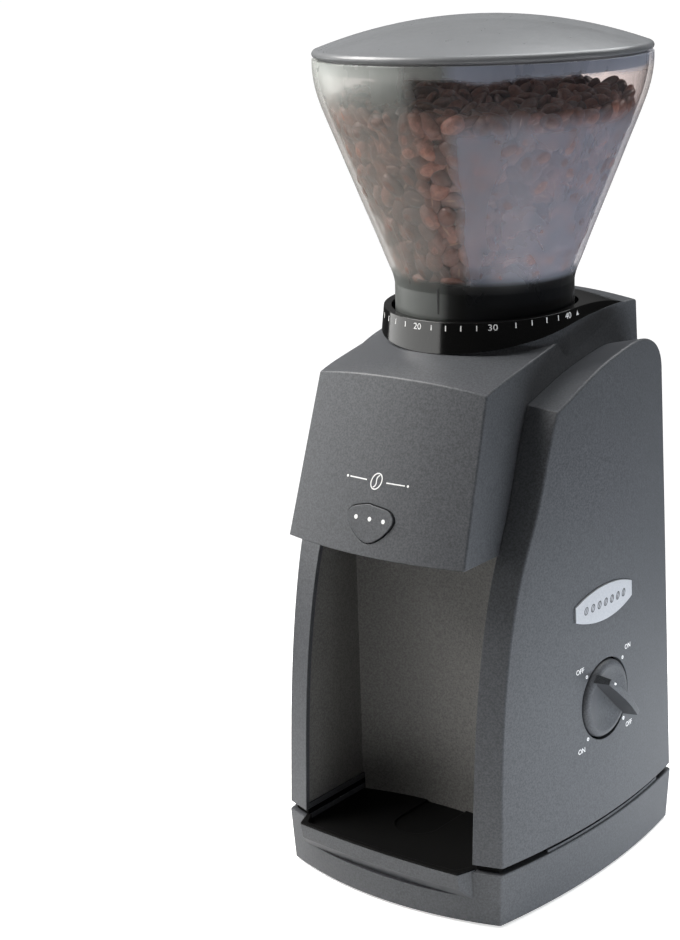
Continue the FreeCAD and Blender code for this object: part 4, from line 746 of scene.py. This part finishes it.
def coffee_beans(material, radius_at):
    """The beans in the hopper, in four pieces by quarter."""
    rng = random.Random(41)
    spots, kinds = bean_places(rng, radius_at)
    shape, faces, crease = bean_shape()
    half = np.array([BEAN_LENGTH, BEAN_WIDTH, BEAN_THICK]) / 2
    groups = {}
    for spot, kind in zip(spots, kinds):
        angle = math.atan2(spot[1], spot[0])
        near_wall = radius_at(spot[2]) - math.hypot(spot[0], spot[1]) < 5.5 * MM
        outward = Vector((math.cos(angle), math.sin(angle), -WALL_SLOPE)).normalized()
        if kind or near_wall:
            turn = turn_to(outward, 14 if near_wall else 40, rng)
        else:
            turn = turn_to(Vector((0, 0, 1)), 65, rng)
        size = half * np.array([rng.uniform(0.86, 1.1), rng.uniform(0.86, 1.08), rng.uniform(0.88, 1.1)])
        placed = (shape * size) @ np.array(turn).T + spot + np.array(AXIS)
        groups.setdefault(int((angle + math.pi) / (math.pi / 2)) % 4, []).append((placed, rng.random()))
    for quarter, beans in sorted(groups.items()):
        points = np.concatenate([placed for placed, _ in beans])
        rings = [tuple(i + n * len(shape) for i in f) for n in range(len(beans)) for f in faces]
        piece = new_piece(f"coffee_beans_{quarter + 1}", points.tolist(), rings, material, True)
        tone = piece.data.attributes.new("tone", "FLOAT", "POINT")
        tone.data.foreach_set("value", np.repeat([t for _, t in beans], len(shape)))
        deep = piece.data.attributes.new("crease", "FLOAT", "POINT")
        deep.data.foreach_set("value", np.tile(crease, len(beans)))
        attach(piece, "hopper")


def bean_core(material, radius_at):
    """A dark lumpy mass behind the outer beans, so that no light shows between them."""
    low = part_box("hopper")[0].z + 20 * MM
    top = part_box("hopper")[1].z - FILL_BELOW_LID - 9 * MM
    levels, around = 24, 64
    points, faces = [], []
    for i in range(levels + 1):
        z = low + (top - low) * i / levels
        for a in turns(around):
            lump = 0.8 * MM * math.sin(7 * a + 1.3 * i) * math.cos(0.9 * i + 3 * a)
            r = radius_at(z) - 9.5 * MM + lump
            points.append((AXIS.x + r * math.cos(a), AXIS.y + r * math.sin(a), z))
    for i in range(levels):
        for k in range(around):
            a, b = i * around, (i + 1) * around
            faces.append((a + k, a + (k + 1) % around, b + (k + 1) % around, b + k))
    faces.append(tuple(range(around - 1, -1, -1)))
    faces.append(tuple(levels * around + k for k in range(around)))
    piece = new_piece("bean_core", points, faces, material, True)
    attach(piece, "hopper")


def dark_beans(name):
    """Beans in the shade behind the others."""
    s = Shader(name)
    lump = s.node("ShaderNodeTexVoronoi", Vector=s.place, Scale=1 / (7 * MM)).outputs["Distance"]
    base = s.mix(s.remap(lump, 0.1, 0.7), (0.035, 0.016, 0.010), (0.008, 0.004, 0.003))
    rough = s.remap(s.noise(3 * MM, 2), 0.3, 0.7, 0.55, 0.75)
    return s.finish(s.principled(Base_Color=base, Roughness=rough, Normal=s.bump(lump, 2 * MM, 0.8)))


# ---------------------------------------------------------------- floor, light and camera
def floor():
    """A pale floor: it reflects most near the object, and looks white to the camera all over."""
    size = 30.0
    corners = [(-size, -size, 0), (size, -size, 0), (size, size, 0), (-size, size, 0)]
    s = Shader("pale_floor")
    reach = s.node("ShaderNodeVectorMath", {"operation": "LENGTH"}, Vector=s.place).outputs["Value"]
    # painted pool of light: the floor's colour is pale near the object and dims further out
    near = s.remap(reach, FLOOR_NEAR, FLOOR_FAR, 1.0, 0.0)
    grain = s.remap(s.noise(0.5, 3), 0.3, 0.7, -0.01, 0.01)
    pale = s.math("ADD", s.remap(near, 0.0, 1.0, FLOOR_DIM, FLOOR_PALE), grain)
    seen = s.node("ShaderNodeLightPath").outputs["Is Camera Ray"]
    lift = s.math("MULTIPLY", seen, s.remap(near, 0.0, 1.0, 1.0, FLOOR_LIFT))
    material = s.finish(s.principled(Base_Color=s.mix(pale, (0, 0, 0), (1, 1, 1)), Roughness=0.8,
                                     Emission_Color=(1, 1, 1), Emission_Strength=lift))
    ground = cad_box[0][2]
    piece = new_piece("floor", [(x, y, ground) for x, y, _ in corners], [(0, 1, 2, 3)], material)


def area_light(name, azimuth, elevation, distance, size, power, colour=(1, 1, 1), mirrored=True):
    """A soft box that looks at the object's middle. Glossy surfaces mirror it or leave it out."""
    data = bpy.data.lights.new(name, "AREA")
    data.shape = "RECTANGLE"
    data.size, data.size_y = size
    data.energy = power
    data.color = colour
    lamp = bpy.data.objects.new(name, data)
    a, e = math.radians(azimuth), math.radians(elevation)
    middle = Vector((0, 0, 0.17))
    away = Vector((math.sin(a) * math.cos(e), -math.cos(a) * math.cos(e), math.sin(e)))
    lamp.location = middle + away * distance
    lamp.rotation_euler = (-away).to_track_quat("-Z", "Y").to_euler()
    lamp.visible_camera = False
    lamp.visible_glossy = mirrored
    bpy.context.scene.collection.objects.link(lamp)


def studio():
    """A backdrop that the camera sees white and that lights the object only faintly, and four soft lights."""
    world = bpy.data.worlds.new("studio")
    world.use_nodes = True
    nodes, links = world.node_tree.nodes, world.node_tree.links
    nodes.clear()
    seen = nodes.new("ShaderNodeLightPath").outputs["Is Camera Ray"]
    direction = nodes.new("ShaderNodeTexCoord").outputs["Generated"]
    split = nodes.new("ShaderNodeSeparateXYZ")
    links.new(direction, split.inputs[0])
    glow = nodes.new("ShaderNodeMapRange")
    for name, value in (("From Min", 0.0), ("From Max", 1.0), ("To Min", WORLD_LOW), ("To Max", WORLD_HIGH)):
        glow.inputs[name].default_value = value
    links.new(split.outputs["Z"], glow.inputs["Value"])
    strength = nodes.new("ShaderNodeMix")
    links.new(seen, strength.inputs[0])
    links.new(glow.outputs[0], strength.inputs[2])
    strength.inputs[3].default_value = 1.0
    back = nodes.new("ShaderNodeBackground")
    back.inputs["Color"].default_value = (1.0, 1.0, 1.0, 1)
    links.new(strength.outputs[0], back.inputs["Strength"])
    links.new(back.outputs[0], nodes.new("ShaderNodeOutputWorld").inputs["Surface"])
    bpy.context.scene.world = world
    # each light's azimuth, elevation and distance from the middle, then its size, power and colour
    area_light("front_left_box", -57, 44, 0.75, (0.5, 0.5), 12, (1.0, 0.985, 0.96))
    area_light("low_left_strip", -56, 3, 0.63, (1.1, 0.16), 1.6, (1.0, 1.0, 0.98))
    area_light("low_right_fill", 102, -28, 0.31, (0.4, 0.06), 1.25, (0.90, 0.95, 1.0), False)
    area_light("top_rear_box", 165, 60, 1.0, (0.8, 0.8), 11, (0.97, 0.99, 1.0))


def camera():
    a, e, roll = (math.radians(v) for v in (CAMERA_AZIMUTH, CAMERA_ELEVATION, CAMERA_ROLL))
    back = Vector((math.sin(a) * math.cos(e), -math.cos(a) * math.cos(e), math.sin(e)))
    right = Vector((math.cos(a), math.sin(a), 0))
    up = back.cross(right)
    side = right * math.cos(roll) + up * math.sin(roll)
    top = up * math.cos(roll) - right * math.sin(roll)
    data = bpy.data.cameras.new("camera")
    data.lens = CAMERA_LENS
    data.clip_start = 0.01
    eye = bpy.data.objects.new("camera", data)
    aim = AXIS + Vector((-AIM_LEFT, -AIM_AHEAD, AIM_HEIGHT))
    turned = Matrix((side, top, back)).transposed().to_4x4()
    eye.matrix_world = Matrix.Translation(aim + back * CAMERA_DISTANCE) @ turned
    bpy.context.scene.collection.objects.link(eye)
    bpy.context.scene.camera = eye


# ---------------------------------------------------------------- the scene
bpy.context.scene.view_settings.view_transform = "Standard"
camera()
studio()
floor()
finish_nodes()
white = ink("white_ink", (0.80, 0.80, 0.80))
dark = ink("dark_ink", (0.02, 0.02, 0.022))
scale_prints(white)
pointer_print(dark)
knob_prints(white)
front_prints(white)
badge_prints(dark)
inner_radius = hopper_radius()
coffee_beans(roasted("roasted_beans"), inner_radius)
bean_core(dark_beans("shaded_beans"), inner_radius)
